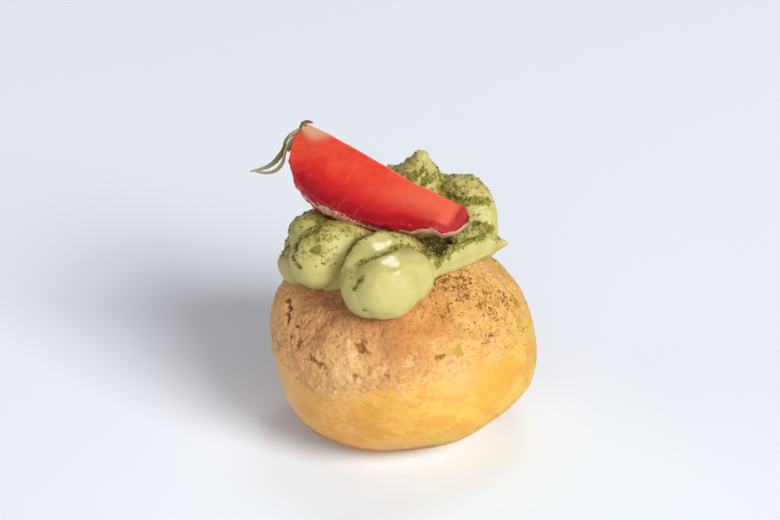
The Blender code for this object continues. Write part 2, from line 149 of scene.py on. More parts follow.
def cell_walls(points, size, seed=0):
    """0 on the lines between irregular cells of a size in mm, rising into them."""
    found = [noise.voronoi(p)[0] for p in (points / (size * MM) + 5.3 * seed).tolist()]
    return np.array([f[1] - f[0] for f in found])


def drift(points, size, seed):
    """Noise in three directions, to bend a pattern with."""
    return np.stack([waves(points, size, seed + i) for i in range(3)], 1)


def near(points, centre, radius):
    """1 at a centre, in mm, falling to nothing past about two radii."""
    gap = points - np.array(centre) * MM
    return np.exp(-(gap * gap).sum(1) / (radius * MM) ** 2)


def spots(points, table):
    """The sum of soft round spots, each (x, y, z, radius, share) in mm."""
    return sum(share * near(points, place, radius) for *place, radius, share in table)


def to_line(points, line):
    """Distance of every point from a line through points, in metres."""
    nearest = np.full(len(points), np.inf)
    for start, end in zip(line, line[1:]):
        along = end - start
        share = np.clip((points - start) @ along / (along @ along), 0, 1)
        gap = points - start - share[:, None] * along
        nearest = np.minimum(nearest, np.sqrt((gap * gap).sum(1)))
    return nearest


def catmull(points, steps):
    """Smooth stations through points of any dimension."""
    points = np.array(points, float)
    ends = np.vstack([2 * points[0] - points[1], points, 2 * points[-1] - points[-2]])
    made = []
    for i in range(len(points) - 1):
        a, b, c, d = ends[i : i + 4]
        for k in range(steps + (i == len(points) - 2)):
            t = k / steps
            bend, twist = 2 * a - 5 * b + 4 * c - d, 3 * b - 3 * c + d - a
            made.append(0.5 * (2 * b + (c - a) * t + bend * t**2 + twist * t**3))
    return np.array(made)


def vertex_values(mesh, name):
    flat = np.zeros(len(mesh.vertices) * 3, np.float32)
    mesh.vertices.foreach_get(name, flat)
    return flat.reshape(-1, 3).astype(float)


def get_points(mesh):
    return vertex_values(mesh, "co")


def get_normals(mesh):
    return vertex_values(mesh, "normal")


def set_points(mesh, points):
    mesh.vertices.foreach_set("co", points.astype(np.float32).ravel())
    mesh.update()


def push(mesh, relief):
    """Moves each vertex along its normal, by a relief in mm."""
    set_points(mesh, get_points(mesh) + get_normals(mesh) * MM * np.reshape(relief, (-1, 1)))


def new_mesh(name, points, faces):
    mesh = bpy.data.meshes.new(name)
    mesh.from_pydata(points.tolist(), [], faces)
    mesh.update()
    return mesh


def mesh_from(shape, name):
    mesh = bpy.data.meshes.new(name)
    shape.to_mesh(mesh)
    shape.free()
    return mesh


def store(mesh, **tones):
    """Keeps numbers for each vertex, under names that a material can read."""
    for name, values in tones.items():
        made = mesh.attributes.new(name, "FLOAT", "POINT")
        made.data.foreach_set("value", np.asarray(values, np.float32))


def add_piece(name, mesh):
    made = bpy.data.objects.new(name, mesh)
    bpy.context.scene.collection.objects.link(made)
    mesh.shade_smooth()
    return made


def evaluated(source):
    """The object's mesh with its modifiers, as a new mesh; the object is removed."""
    bpy.context.view_layer.update()
    graph = bpy.context.evaluated_depsgraph_get()
    made = bpy.data.meshes.new_from_object(source.evaluated_get(graph))
    bpy.data.objects.remove(source)
    return made


def modified(mesh, *steps):
    """The mesh after modifiers, each given as (kind, settings)."""
    source = add_piece("source", mesh)
    for kind, settings in steps:
        step = source.modifiers.new(kind, kind)
        for key, value in settings.items():
            setattr(step, key, value)
    return evaluated(source)


def sphere_mesh(subdivisions):
    shape = bmesh.new()
    bmesh.ops.create_icosphere(shape, subdivisions=subdivisions, radius=1.0)
    return mesh_from(shape, "sphere")


# ---- choux bun ----

HALVINGS = 24


def bun_points(azimuth, elevation):
    """Points of the smooth bun in directions from the centre of its widest section."""
    flat, up = np.cos(elevation), np.sin(elevation)
    x, y = np.cos(azimuth), np.sin(azimuth)
    mean, left, front = (np.where(up > 0, a, b) for a, b in zip(BUN_UPPER, BUN_LOWER))
    depth = np.where(up > 0, BUN_HEIGHT - BUN_WIDEST, BUN_LOWER_DEPTH)
    power = mean - (left * x + front * y) * np.minimum(1.0, 3 * flat)
    scale = (flat**power + np.abs(up) ** power) ** (-1 / power)
    across = flat * scale * BUN_RADIUS * (1 + BUN_OVAL * np.cos(2 * (azimuth - BUN_OVAL_SIDE)))
    tilt = (BUN_TILT[0] * x + BUN_TILT[1] * y) * across * (1 - np.abs(up))
    place = np.stack([across * x, across * y, BUN_WIDEST + up * scale * depth + tilt], 1)
    return place + BUN_CENTRE


def bisected(azimuth, low, high, too_low):
    """Bun points where too_low turns false, found by halving the range of elevations."""
    low, high = np.full(len(azimuth), low), np.full(len(azimuth), high)
    for _ in range(HALVINGS):
        middle = (low + high) / 2
        under = too_low(bun_points(azimuth, middle))
        low, high = np.where(under, middle, low), np.where(under, high, middle)
    return bun_points(azimuth, (low + high) / 2)


def bun_at(places):
    """Bun points at (azimuth in degrees, height in mm)."""
    azimuth, height = np.radians([p[0] for p in places]), np.array([p[1] for p in places]) * MM
    return bisected(azimuth, -math.pi / 2, math.pi / 2, lambda made: made[:, 2] < height)


def bun_top(x, y):
    """Heights of the smooth bun above points."""
    x, y = x - BUN_CENTRE[0], y - BUN_CENTRE[1]
    reach = np.hypot(x, y)
    found = bisected(
        np.arctan2(y, x), 0.0, math.pi / 2,
        lambda made: np.hypot(made[:, 0] - BUN_CENTRE[0], made[:, 1] - BUN_CENTRE[1]) > reach)
    return found[:, 2]


def above_crust_edge(points, rag):
    """Height over the lower edge of the crust, in metres, where the edge strays up by rag."""
    azimuth = np.arctan2(points[:, 1] - BUN_CENTRE[1], points[:, 0] - BUN_CENTRE[0])
    edge = CRUST_EDGE + CRUST_EDGE_RISE * np.cos(azimuth - CRUST_RISE_SIDE) + rag
    edge -= 1.8 * MM * near(points, (-14.5, -19.0, 19.0), 6.5)
    return points[:, 2] - edge


def crust_share(points):
    """How far each point is on the crust, 0 to 1, with the ragged edge drawn finer than the solid's."""
    rag = CRUST_EDGE_RAG * waves(points, 5)
    rag += 1.1 * MM * waves(points, 1.9, 3) + 0.7 * MM * waves(points, 0.8, 4)
    return fade(above_crust_edge(points, rag) / CRUST_STEP)


def crust_colour(points):
    """Like crust_share, but the colour changes more gradually than the relief."""
    rag = 2.6 * MM * layers(points, 3.2, 3, 36)
    return fade(above_crust_edge(points, rag) / (4.5 * MM) + 0.45)


# Cracks at the front of the crust, as (points, half width, depth, how dark)
CRACKS = (
    (((-21.4, -5.6, 29.6), (-21.2, -7.3, 29.2), (-20.8, -8.1, 28.8), (-21.5, -9.1, 28.2),
        (-21.6, -10.1, 27.9)), 0.6, 0.9, 1),
    (((-19.9, -12.5, 28.4), (-19.2, -14.1, 27.8), (-18.8, -15.2, 27.1), (-19.5, -14.6, 25.1)),
        0.55, 0.6, 0.9),
    (((-21, -12.4, 26), (-20.3, -12.9, 26.1)), 0.35, 0.25, 0.7),
    (((-18.7, -12.9, 29.5), (-17.9, -14.5, 29.1)), 0.3, 0.25, 0.6),
    (((-17.1, -17.5, 24.6), (-16, -18.2, 23.8), (-14.7, -20.1, 23.3)), 0.6, 0.6, 0.75),
    (((-21.8, -13.7, 22.7), (-20.4, -15.6, 22.7)), 0.3, 0.15, 0.5),
    (((-7.9, -19.7, 29.2), (-7.3, -20, 27.7), (-7.7, -20.5, 27.2)), 0.6, 0.6, 0.85),
    (((-9.3, -19.9, 28.7), (-8.4, -19.7, 28.2)), 0.3, 0.2, 0.6),
    (((-6.9, -20.6, 27.2), (-5.7, -21.9, 26.9), (-4.6, -22.4, 25.3)), 0.28, 0.3, 0.5),
    (((-15.4, -17.2, 28.4), (-15.1, -17.5, 28.4)), 0.35, 0.25, 0.8),
    (((-11.7, -18.1, 30), (-11.4, -18.4, 29.8)), 0.3, 0.2, 0.6),
    (((-9, -22.1, 23.2), (-8.2, -22.1, 22.6)), 0.45, 0.35, 0.75),
    (((-3.7, -23, 23.7), (-2.9, -22.7, 23.6)), 0.3, 0.3, 0.7),
    (((-2.9, -19.8, 30.1), (-2.4, -20, 29.8)), 0.35, 0.25, 0.7),
    (((-8.2, -18.5, 31.1), (-7.7, -19.1, 30.4)), 0.4, 0.2, 0.5),
    (((-16.7, -10.8, 32.5), (-16.1, -13, 31.6)), 0.35, 0.2, 0.45),
    (((-10.3, -15.4, 32.9), (-9.3, -16.7, 32.4)), 0.45, 0.2, 0.5),
    (((15.1, -14.6, 26.2), (15.7, -13.5, 26.2), (16.4, -12.7, 26.6)), 0.38, 0.3, 0.9),
    (((11.6, -17.9, 26.3), (12.2, -17.5, 26.3)), 0.3, 0.25, 0.95),
    (((5.5, -21.1, 25.8), (6.2, -20.3, 26), (7.2, -19.7, 26.1)), 0.38, 0.3, 0.8),
    (((3.3, -19.7, 29.2), (3.8, -19.5, 29.3)), 0.3, 0.25, 0.75),
)


def back_cracks():
    """Cracks like those of the table, from the seeded rule by which the source cuts the back."""
    draw = random.Random(BACK_FISSURE_SEED)
    made = []
    for i in range(BACK_FISSURES):
        azimuth = 25 + 140 * (i + 0.5) / BACK_FISSURES + draw.uniform(-6, 6)
        places = [(azimuth, draw.uniform(24, 31))]
        for _ in range(2):
            azimuth += draw.uniform(3, 8) * draw.choice((-1, 1))
            places.append((azimuth, places[-1][1] - draw.uniform(0.8, 2.2)))
        depth, width = draw.uniform(0.7, 1.3), draw.uniform(0.6, 0.9)
        made.append((bun_at(places) / MM, 0.6 * width, 0.8 * depth, 0.55))
    return made


def cracks_at(points, strayed):
    """Depth in mm of the crust's cracks, and how dark they are."""
    grit = waves(points, 0.6, 6)
    deep, darkness = np.zeros(len(points)), np.zeros(len(points))
    for line, width, depth, dark in (*CRACKS, *back_cracks()):
        far = to_line(strayed, np.array(line) * MM) / (width * MM)
        deep += depth * np.exp(-((far / 0.85) ** 2)) * fade((grit + 0.7) / 0.5)
        darkness = np.maximum(darkness, dark * fade((1.2 - far - 1.1 * grit) / 0.6))
    return deep, darkness


def body_relief(points, share):
    """Relief in mm of the body below the crust, drawn out level, with a few fibres."""
    drawn = points * np.array((1.0, 1.0, 2.6))
    relief = 0.2 * waves(points, 6, 30) + 0.10 * waves(drawn, 2.6, 31) + 0.05 * waves(drawn, 1, 32)
    fibres = near(points, (-0.5, -23.7, 21.3), 3.2) + 0.7 * near(points, (-13.0, -20.6, 19.5), 5.0)
    return share * relief + 0.10 * fibres * waves(points * np.array((1.0, 1.0, 3.5)), 1.1, 33)


def choux_bun():
    mesh = sphere_mesh(8)
    x, y, z = get_points(mesh).T
    points = bun_points(np.arctan2(y, x), np.arctan2(z, np.hypot(x, y)))
    crust = crust_share(points)
    golden = fade((points[:, 0] / MM + 4) / 16) * fade((34 - points[:, 2] / MM) / 10)
    dome = near(points, (1.1, -22.1, 26.0), 4.4)
    rough = crust * (1 - 0.8 * dome) * (1 - 0.5 * golden)
    strayed = points + 0.5 * MM * drift(points, 1.1, 71)
    strayed += 2.4 * MM * drift(points, 3, 74) * fade(points[:, 1:2] / (4 * MM))
    depth, crack = cracks_at(points, strayed)
    between = np.exp(-((cell_walls(strayed, 2.1, 1) / 0.10) ** 2)) * fade((waves(points, 4, 8) + 0.1) / 0.3)
    pits = fade((-waves(points, 0.8, 25) - 0.32) / 0.14) * crust * (1 - 0.8 * golden)
    relief = BUN_LUMP * waves(points, BUN_LUMP_SIZE) + 0.2 * dome - depth - 0.2 * pits
    relief += crust * (0.7 * CRUST_THICKNESS * (1 - 0.7 * golden) + CRUMB * waves(points, CRUMB_SIZE))
    relief += rough * (0.12 * waves(points, 0.95, 20) + 0.11 * waves(points, 0.5, 21) - 0.08 * between)
    relief += body_relief(points, 1 - crust)
    outward = points - BUN_CENTRE - np.array((0, 0, BUN_WIDEST))
    outward /= np.linalg.norm(outward, axis=1)[:, None]
    placed = points + outward * (relief * MM)[:, None]
    placed[:, 2] = np.maximum(placed[:, 2], 0.0)
    set_points(mesh, placed)
    tones = bun_tones(points)
    tones["crack"] = crack + 0.2 * between * rough + 0.14 * pits
    tones["crust"] = crust_colour(points) + 0.3 * waves(points, 1, 34) * (1 - crust)
    tones["stain"] = bun_powder(points)
    store(mesh, **{name: np.clip(values, 0, 1) for name, values in tones.items()})
    return add_piece("choux_bun_baked", mesh)


# Coloured places of the bun, as spots
BUN_SPOTS = {
    "orange": ((-8.5, -18.8, 30.4, 3, 0.4), (-0.7, -19.6, 30.2, 6, 1), (5, -15, 32.5, 5.5, 1),
        (1.1, -22.1, 27, 4, 0.4), (12, -9, 35, 5, 0.3)),
    "pale": ((-10.8, -21.6, 24.7, 5, 1), (-13.5, -20.2, 21.5, 3.6, 0.7), (10.3, -20, 24.1, 4, 0.8),
        (-9.8, -19.5, 27.1, 3.2, 0.4), (10, -20.5, 20.5, 3.4, 0.7), (17, -14, 24, 3, 0.5),
        (15.5, -0.5, 33.8, 4, 0.7)),
    # The gold and green spots at x = -24.5 are painted light: they tint the bun's left edge green-gold.
    "gold": ((15.3, -18.2, 17.9, 4.4, 1.3), (19, -13.5, 21.2, 2.6, 1), (-6.2, -23.5, 17.6, 4.6, 0.5),
        (3, -23.5, 16, 5, 0.45), (-24.5, -5, 20, 5, 0.5)),
    "green": ((21.4, -2.2, 28.1, 1.9, 1.3), (22.5, -5, 25.5, 1.5, 0.8), (10, -18.3, 26.2, 1.2, 1.2),
        (6.2, -20.4, 26, 0.8, 1), (-24.5, -4, 21, 4, 0.45)),
    "amber": ((-7.5, -23.3, 13.7, 4, 1), (-1, -23.9, 20, 3, 0.5)),
}
WISPS = ((-12.5, -20.6, 14, 5, 1), (4, -23.3, 20, 4.2, 1))
# Pale flakes that stand out on the crust
FLAKES = (
    (-10.2, -19.6, 28.8, 0.8, 1), (-9.5, -20.3, 27.5, 1.2, 1), (-9.9, -20.9, 26, 1.1, 1),
    (-11.7, -21.3, 23.6, 1.3, 1), (-10.2, -22.1, 23, 0.7, 1), (-8.3, -22.6, 22.4, 1.1, 1),
    (-3.4, -22.6, 24.8, 0.8, 1), (2.4, -21.6, 27.2, 0.9, 1), (1.2, -22.4, 25.8, 1.2, 1),
    (-1, -23.4, 21.4, 0.6, 1), (-15, -17.6, 28, 0.5, 1),
)


def bun_tones(points):
    """Where the bun is toasted, orange, pale, golden, stained green and so on, each 0 to 1, with painted
    light along the left edge, which is lighter and green-gold.
    """
    wander = layers(points, 5, 3, 40)
    x, _, z = (points / MM).T
    tones = {name: spots(points, table) for name, table in BUN_SPOTS.items()}
    tones["toast"] = fade((z - 26.5 + 5 * wander) / 6) * fade((2 - x) / 10)
    # Painted light: the bun's left edge is drawn lighter.
    tones["edge"] = fade((-x - 17) / 5) * (1 - 0.5 * fade((z - 30) / 5))
    tones = {name: values * (1 + 0.8 * wander) for name, values in tones.items()}
    tones["right"] = fade((x + 5) / 14)
    tones["flake"] = spots(points, FLAKES)
    tones["wisp"] = spots(points, WISPS)
    rim = 5.1 + np.minimum(0.010 * (x + 3) ** 2, 1.2) - 0.3 * wander
    tones["under"] = fade((rim + 1.2 - z) / 1.2) * fade((z - rim + 2.4) / 1.2) * fade((11 - x) / 8)
    tones["foot"] = fade((3.6 + 0.3 * wander - z) / 0.8)
    return tones


# Where powder lies on the bun, as spots
BUN_DUST = (
    (6.6, -9.6, 35.8, 2.2, 0.9), (9, -8.2, 35.4, 2.6, 0.6), (7.8, -9.4, 35.6, 2, 0.6),
    (10.7, -7.3, 35.1, 1.3, 0.8), (14.3, -6.3, 33.6, 1.6, 0.8), (10.4, -10.8, 33.8, 1.8, 0.8),
    (14.8, -9.5, 31.4, 1.8, 0.7), (2.8, -15, 34.2, 1.4, 0.9), (17.5, -9.4, 28.8, 1.3, 0.7),
    (19.2, -4.2, 29.9, 2, 0.8), (17.9, 6.6, 31.8, 1.2, 0.7), (7.6, -15.5, 32.2, 2.4, 0.7),
    (15.6, -13.6, 26.3, 1.5, 0.9), (-0.5, -18, 32.5, 2.4, 0.45), (11, -8, 34.5, 6.5, 0.32),
    (18, -6, 30, 4.5, 0.3), (12, -15, 29.5, 3.5, 0.2), (22, -6, 25, 3.5, 0.18),
)


def bun_powder(points):
    """How much powder fell on the bun: in patches beside the cream on the right, and at the back."""
    _, y, z = (points / MM).T
    share = spots(points, BUN_DUST) + 0.5 * fade((z - 29) / 5) * fade((y - 4) / 8)
    return share * (1 + 0.9 * waves(points, 1.6, 70))


# ---- piped cream ----


def rope(points):
    """One rope of cream as a bevelled curve with a ball at each end."""
    stations = catmull(points, ROPE_STEPS) * MM
    stations[:, 2] += bun_top(stations[:, 0], stations[:, 1])
    curve = bpy.data.curves.new("rope", "CURVE")
    curve.dimensions = "3D"
    curve.bevel_depth = 1.0
    curve.bevel_resolution = 8
    curve.use_fill_caps = True
    spline = curve.splines.new("POLY")
    spline.points.add(len(stations) - 1)
    for point, (x, y, z, radius) in zip(spline.points, stations):
        point.co = (x, y, z, 1)
        point.radius = radius
    tube = bpy.data.objects.new("rope", curve)
    bpy.context.scene.collection.objects.link(tube)
    shape = bmesh.new()
    shape.from_mesh(evaluated(tube))
    for x, y, z, radius in (stations[0], stations[-1]):
        bmesh.ops.create_icosphere(shape, subdivisions=4, radius=radius, matrix=Matrix.Translation((x, y, z)))
    return mesh_from(shape, "rope")


# The flat front of the right-hand band, as more and thinner ropes one above another
WALL_ROPES = (
    ((8.3, -6.5, 4.6, 1.1), (9.6, -5.3, 4.5, 1.1), (12.9, -1.1, 4.4, 1.1), (15.7, 2.6, 4.9, 1)),
    ((5, -9.9, 4.1, 1.4), (7.3, -7.3, 3.3, 1.4), (9.6, -5, 3.3, 1.4), (12.9, -0.8, 3.2, 1.4),
        (16.1, 2.9, 4.1, 1.2)),
    ((5, -9.9, 2.5, 1.4), (7.3, -7.3, 1.7, 1.4), (9.6, -5, 1.5, 1.4), (12.9, -0.8, 1.7, 1.3),
        (16.3, 2.9, 3.4, 1)),
)
# The hollow under the strawberry's tip, as balls: centre and half sizes
HOLLOW = (((6.6, -1.6, 40), (2.8, 3.6, 2.5)), ((6.3, -5.6, 41.3), (1.5, 3, 1.9)))
# Pits and creases of the cream, as (points, half width, depth, powder caught)
CREAM_MARKS = (
    (((-19.8, -6.7, 42.6), (-19.6, -8.2, 41.8)), 0.7, 0.8, 1),
    (((-16.5, -9.9, 42.7), (-15.8, -10, 42.6)), 0.75, 0.4, 0.95),
    (((-20.3, -8.9, 40.8), (-19.5, -10.5, 39.7)), 0.45, 0.3, 0.8),
    (((-19.7, -10.4, 39.7), (-19, -10.8, 39.6)), 0.4, 0.3, 0.95),
    (((-8.3, -19.8, 41.4), (-7.6, -20.2, 42)), 0.5, 0.4, 1),
    (((-9.1, -19.9, 39.9), (-8.5, -19.9, 40.5)), 0.42, 0.3, 0.9),
    (((-7.4, -20.6, 35.9), (-6.9, -20.9, 36.1)), 0.25, 0.2, 1),
    (((13.6, 3.4, 41.5), (14.7, 3.5, 41.3)), 0.85, 1.1, 1.05),
    (((-8, -16.2, 43.3), (-6.9, -16.6, 44.1), (-5.3, -17.2, 44.9), (-3.5, -16.3, 45.1),
        (-1.8, -12.8, 44.5), (-0.4, -9.9, 43.3), (1.5, -8.4, 42.4)), 0.75, 0.5, 0.7),
    (((-11.3, -13.1, 41.9), (-10.9, -12.4, 42.6), (-10.3, -11.6, 43.6), (-9.3, -10.9, 44.6),
        (-8.1, -10.1, 45.4), (-6.4, -9.6, 45.8)), 1.15, 0.45, 1),
    (((-19.2, -6.5, 43), (-18.1, -6.6, 43.8), (-16.6, -6.3, 44.6), (-15.5, -5.1, 45.3)), 0.7, 0.35, 0.9),
    (((8.3, 7.6, 45.4), (11.7, 5.5, 44.9), (13.8, 5.7, 45.5), (15.9, 6.5, 44.7)), 0.9, 0.5, 0.9),
    (((6.5, 13.1, 48.8), (7.2, 11.6, 47.3), (7.2, 9.7, 46.1)), 0.8, 0.3, 0.7),
    (((5.4, -10.7, 40.6), (5.5, -11.4, 39.8), (5.9, -11.5, 38.4)), 0.4, 0.3, 0),
)
# Places where the cream is wet and free of powder, as spots: the share is how far each is levelled
WET = (
    (-9.6, -15, 43.4, 1.9, 0.85), (-8.1, -14.6, 44.3, 2.1, 0.85), (-6.4, -13.8, 45, 2.3, 0.85),
    (-4.6, -13.1, 45.3, 2.3, 0.9), (-2.7, -11.9, 45.4, 2.1, 0.85), (-3, -18.2, 44.8, 2, 0.35),
    (-1.9, -19.3, 44.1, 1.7, 0.4), (-9.8, -6.3, 45.2, 0.9, 0.3), (-9, -9, 45.6, 0.8, 0.3),
)
LEVEL_FACING = np.array((0.08, -0.33, 0.94))
MERGE_VOXEL = 0.3 * MM
MERGE_SMOOTHING = 9


def body_of_ropes():
    """The ropes merged into one soft body."""
    whole = bmesh.new()
    for points in (*CREAM_ROPES.values(), *WALL_ROPES):
        whole.from_mesh(rope(points))
    merge = ("REMESH", {"mode": "VOXEL", "voxel_size": MERGE_VOXEL})
    soften = ("SMOOTH", {"iterations": MERGE_SMOOTHING})
    return modified(mesh_from(whole, "ropes"), merge, soften)


def wedge_mesh(wedge):
    """The wedge a little smaller, so that the cream carved with it covers its skin."""
    mesh = wedge.data.copy()
    push(mesh, -0.15)
    return mesh


def hollow_mesh(centre, size):
    mesh = sphere_mesh(5)
    points = get_points(mesh) * np.array(size) * MM + np.array(centre) * MM
    set_points(mesh, points)
    push(mesh, 0.7 * waves(points, 1.8, 58))
    points = get_points(mesh)
    points[:, 2] = np.maximum(points[:, 2], bun_top(points[:, 0], points[:, 1]) + 0.7 * MM)
    set_points(mesh, points)
    return mesh


def carved(mesh, tools):
    """The mesh without what lies inside the tools, which are meshes too."""
    cutters = [add_piece("cutter", tool) for tool in tools]
    cut = {"operation": "DIFFERENCE", "solver": "MANIFOLD"}
    result = modified(mesh, *(("BOOLEAN", {**cut, "object": cutter}) for cutter in cutters))
    for cutter in cutters:
        bpy.data.objects.remove(cutter)
    return result


def marks_at(points):
    """Depth in mm of the pits and creases, and how much powder they hold; the hollows hold the most, partly
    as painted shade.
    """
    deep, powder_and_shade_held = np.zeros(len(points)), np.zeros(len(points))
    grit = waves(points, 0.7, 57)
    for line, width, depth, powder in CREAM_MARKS:
        shape = np.exp(-((to_line(points, np.array(line) * MM) / (width * MM)) ** 2))
        deep += depth * shape
        powder_and_shade_held = np.maximum(powder_and_shade_held, powder * fade(1.6 * shape) * (1 + 0.35 * grit))
    # The hollows fill past full: the powder there is partly painted shade deep in them.
    for centre, size in HOLLOW:
        gap = np.linalg.norm((points / MM - np.array(centre)) / np.array(size), axis=1)
        powder_and_shade_held = np.maximum(powder_and_shade_held, 1.3 * fade((1.45 + 0.15 * grit - gap) / 0.35))
    return deep, powder_and_shade_held


def levelled(points, normals):
    """The points with each wet place drawn towards a plane, which makes its highlight smooth."""
    for *centre, radius, share in WET:
        height = (points - np.array(centre) * MM) @ LEVEL_FACING
        hold = near(points, centre, radius) * fade(normals[:, 2] / 0.2)
        height -= (height * hold).sum() / hold.sum()
        points = points - (share * hold * height)[:, None] * LEVEL_FACING
    return points


def piped_cream(wedge):
    mesh = body_of_ropes()
    points, normals = get_points(mesh), get_normals(mesh)
    x, y, _ = (points / MM).T
    top = fade((normals[:, 2] - 0.1) / 0.6) * fade((y + 3) / 6)
    relief = 0.34 * waves(points, 4.6, 50) + 0.14 * waves(points, 2, 51) + 0.05 * waves(points, 0.9, 52)
    relief += top * (0.22 * waves(points, 1.3, 53) + 0.17 * waves(points, 0.6, 54))
    relief *= 1 - 0.6 * fade((x - 5) / 3) * fade((2 - y) / 3)
    relief -= marks_at(points)[0]
    set_points(mesh, levelled(points + normals * (relief * MM)[:, None], normals))
    mesh = carved(mesh, [wedge_mesh(wedge)] + [hollow_mesh(*ball) for ball in HOLLOW])
    points = get_points(mesh)
    # The powder share holds painted shade too: in the hollows and behind the strawberry.
    powder = powder_share(points, get_normals(mesh), marks_at(points)[1])
    wet = [fade(1.6 * near(points, centre, radius) - 0.3) for *centre, radius, _ in WET]
    store(mesh, powder=powder, wet=np.max(wet, axis=0))
    return add_piece("piped_cream_swirl", mesh)


# Powder on what faces up, powder all round (one spot of it painted shade where the strawberry shades the
# cream behind it), and places free of it, as spots
DUSTED = ((-15, -5, 45, 6, 0.1), (12, 2, 42, 4, 0.3))
POWDER_AND_SHADE_SPOTS = (
    (-13.5, -9.5, 43.8, 2.6, 0.22), (5.5, -6.5, 41, 2.6, 0.35), (-8.5, -8, 45.5, 3, 0.3),
    # The spot at (3.4, 8.8, 48) is painted shade: the cream darkened where the strawberry shades it.
    (-14, -10, 43, 4, 0.12), (3.4, 8.8, 48, 2.6, 0.8), (9.5, 6, 45.5, 3, 0.2),
    (-13.5, -5.5, 46, 3.5, 0.16), (-1, -9.2, 44.9, 2.4, 0.35), (3, -7.8, 42.2, 2.4, 0.25),
    (13, 9, 48.5, 5, 0.03), (-20.5, 2, 42, 2.6, 0.45), (-22.5, 0, 38.5, 2.4, 0.3),
)
CLEAR = (
    (-4, -15, 45.5, 3.6, 1), (-11, -9, 44, 2.4, 1), (0.5, -18, 43, 4, 1), (-1.5, -18.5, 40, 5, 1),
    (17.5, 5, 46, 3, 1), (13, 3.5, 46, 2, 0.7),
)
# The line along which powder lies on the upper edge of the right-hand band
LEDGE = ((6.7, -9.2, 40.4), (8.9, -6.2, 41.8), (11.6, -3.4, 41.7), (14.2, 0, 41.4), (17.2, 3, 41.4))


def powder_share(points, normals, powder_and_shade_held):
    """How thick the green powder lies: on what faces up, at the back and in the creases; in the hollows and
    in one spot behind the strawberry it is partly painted shade.
    """
    x, y, z = (points / MM).T
    lying = fade((normals[:, 2] + 0.05) / 0.8)
    share = (0.26 - 0.07 * fade((y - 2) / 4) - 0.06 * fade((z - 48) / 2)) * lying
    share += (0.04 + 0.04 * lying) * fade((y + 3) / 6) * fade((z - 40) / 4)
    share += lying * spots(points, DUSTED) + spots(points, POWDER_AND_SHADE_SPOTS)
    ledge = to_line(points, np.array(LEDGE) * MM) / MM
    share += 0.75 * fade((2.1 + 1.4 * waves(points, 1.8, 66) - ledge) / 1.2)
    clear = spots(points, CLEAR) + fade((x - 6) / 3) * fade((0.35 - normals[:, 2]) / 0.3)
    share -= 0.5 * np.clip(clear, 0, 1)
    mottle = layers(points, 2.4, 2, 56) + (0.6 + 1.2 * fade((y + 1) / 4)) * waves(points, 0.75, 55)
    return np.maximum(np.clip(share * (1 + 0.7 * mottle), 0, 0.9), powder_and_shade_held)


# ---- strawberry ----

BERRY_RINGS = 120
FACE_POINTS = 40
SKIN_POINTS = 84
RIM_WIDTH = 0.42
SEED_ROWS = 13
SEED_GAP = 2.9 * MM


def berry_radius(share):
    def raw(u):
        return u**BERRY_SHOULDER_POWER * (1 - u) ** BERRY_TIP_POWER * (1 - BERRY_TAPER * u)

    widest = raw(np.linspace(0.005, 0.995, 199)).max()
    return BERRY_RADIUS * raw(np.clip(share, 0.0, 1.0)) / widest


def berry_frame():
    return (
        Matrix.Translation(BERRY_START)
        @ Matrix.Rotation(BERRY_SWING, 4, "Z")
        @ Matrix.Rotation(BERRY_SLOPE, 4, "Y")
        @ Matrix.Rotation(BERRY_ROLL, 4, "X")
    )


def in_part(points):
    """Points of the berry's own frame, in the part's frame."""
    turn = np.array(berry_frame())
    return points @ turn[:3, :3].T + turn[:3, 3]


def loft(rings):
    """A closed mesh through rings of points, shaped (rings, points in each, 3)."""
    count, around = rings.shape[:2]
    faces = []
    for k in range(count - 1):
        for i in range(around):
            j = (i + 1) % around
            faces.append((k * around + i, k * around + j, (k + 1) * around + j, (k + 1) * around + i))
    faces.append(tuple(range(around))[::-1])
    faces.append(tuple((count - 1) * around + i for i in range(around)))
    shape = bmesh.new()
    shape.from_mesh(new_mesh("loft", rings.reshape(-1, 3), faces))
    bmesh.ops.recalc_face_normals(shape, faces=shape.faces)
    return mesh_from(shape, "loft")


def berry_loop():
    """One cross-section of the wedge as (share of the radius, angle from straight down, on the skin)."""
    half = BERRY_ARC / 2
    face = 0.5 - 0.5 * np.cos(math.pi * np.arange(FACE_POINTS) / FACE_POINTS)
    arc = half * -np.cos(math.pi * np.arange(SKIN_POINTS + 1) / SKIN_POINTS)
    share = np.concatenate([face, np.ones(SKIN_POINTS + 1), face[:0:-1]])
    angle = np.concatenate([np.full(FACE_POINTS, -half), arc, np.full(FACE_POINTS - 1, half)])
    skin = np.concatenate([np.zeros(FACE_POINTS), np.ones(SKIN_POINTS + 1), np.zeros(FACE_POINTS - 1)])
    return share, angle, skin


def seed_places():
    """Where the skin's seeds sit, as (share along, angle), in staggered rows."""
    draw = random.Random(3)
    made = []
    for row in range(SEED_ROWS):
        along = 0.07 + 0.86 * row / (SEED_ROWS - 1)
        count = max(2, round(float(berry_radius(along)) * BERRY_ARC / SEED_GAP))
        for k in range(count):
            angle = BERRY_ARC * ((k + 0.5 * (row % 2) + 0.25) / count - 0.5)
            made.append((along + draw.uniform(-0.008, 0.008), angle + draw.uniform(-0.05, 0.05)))
    return [(a, b) for a, b in made if abs(b) < BERRY_ARC / 2 - 0.04]


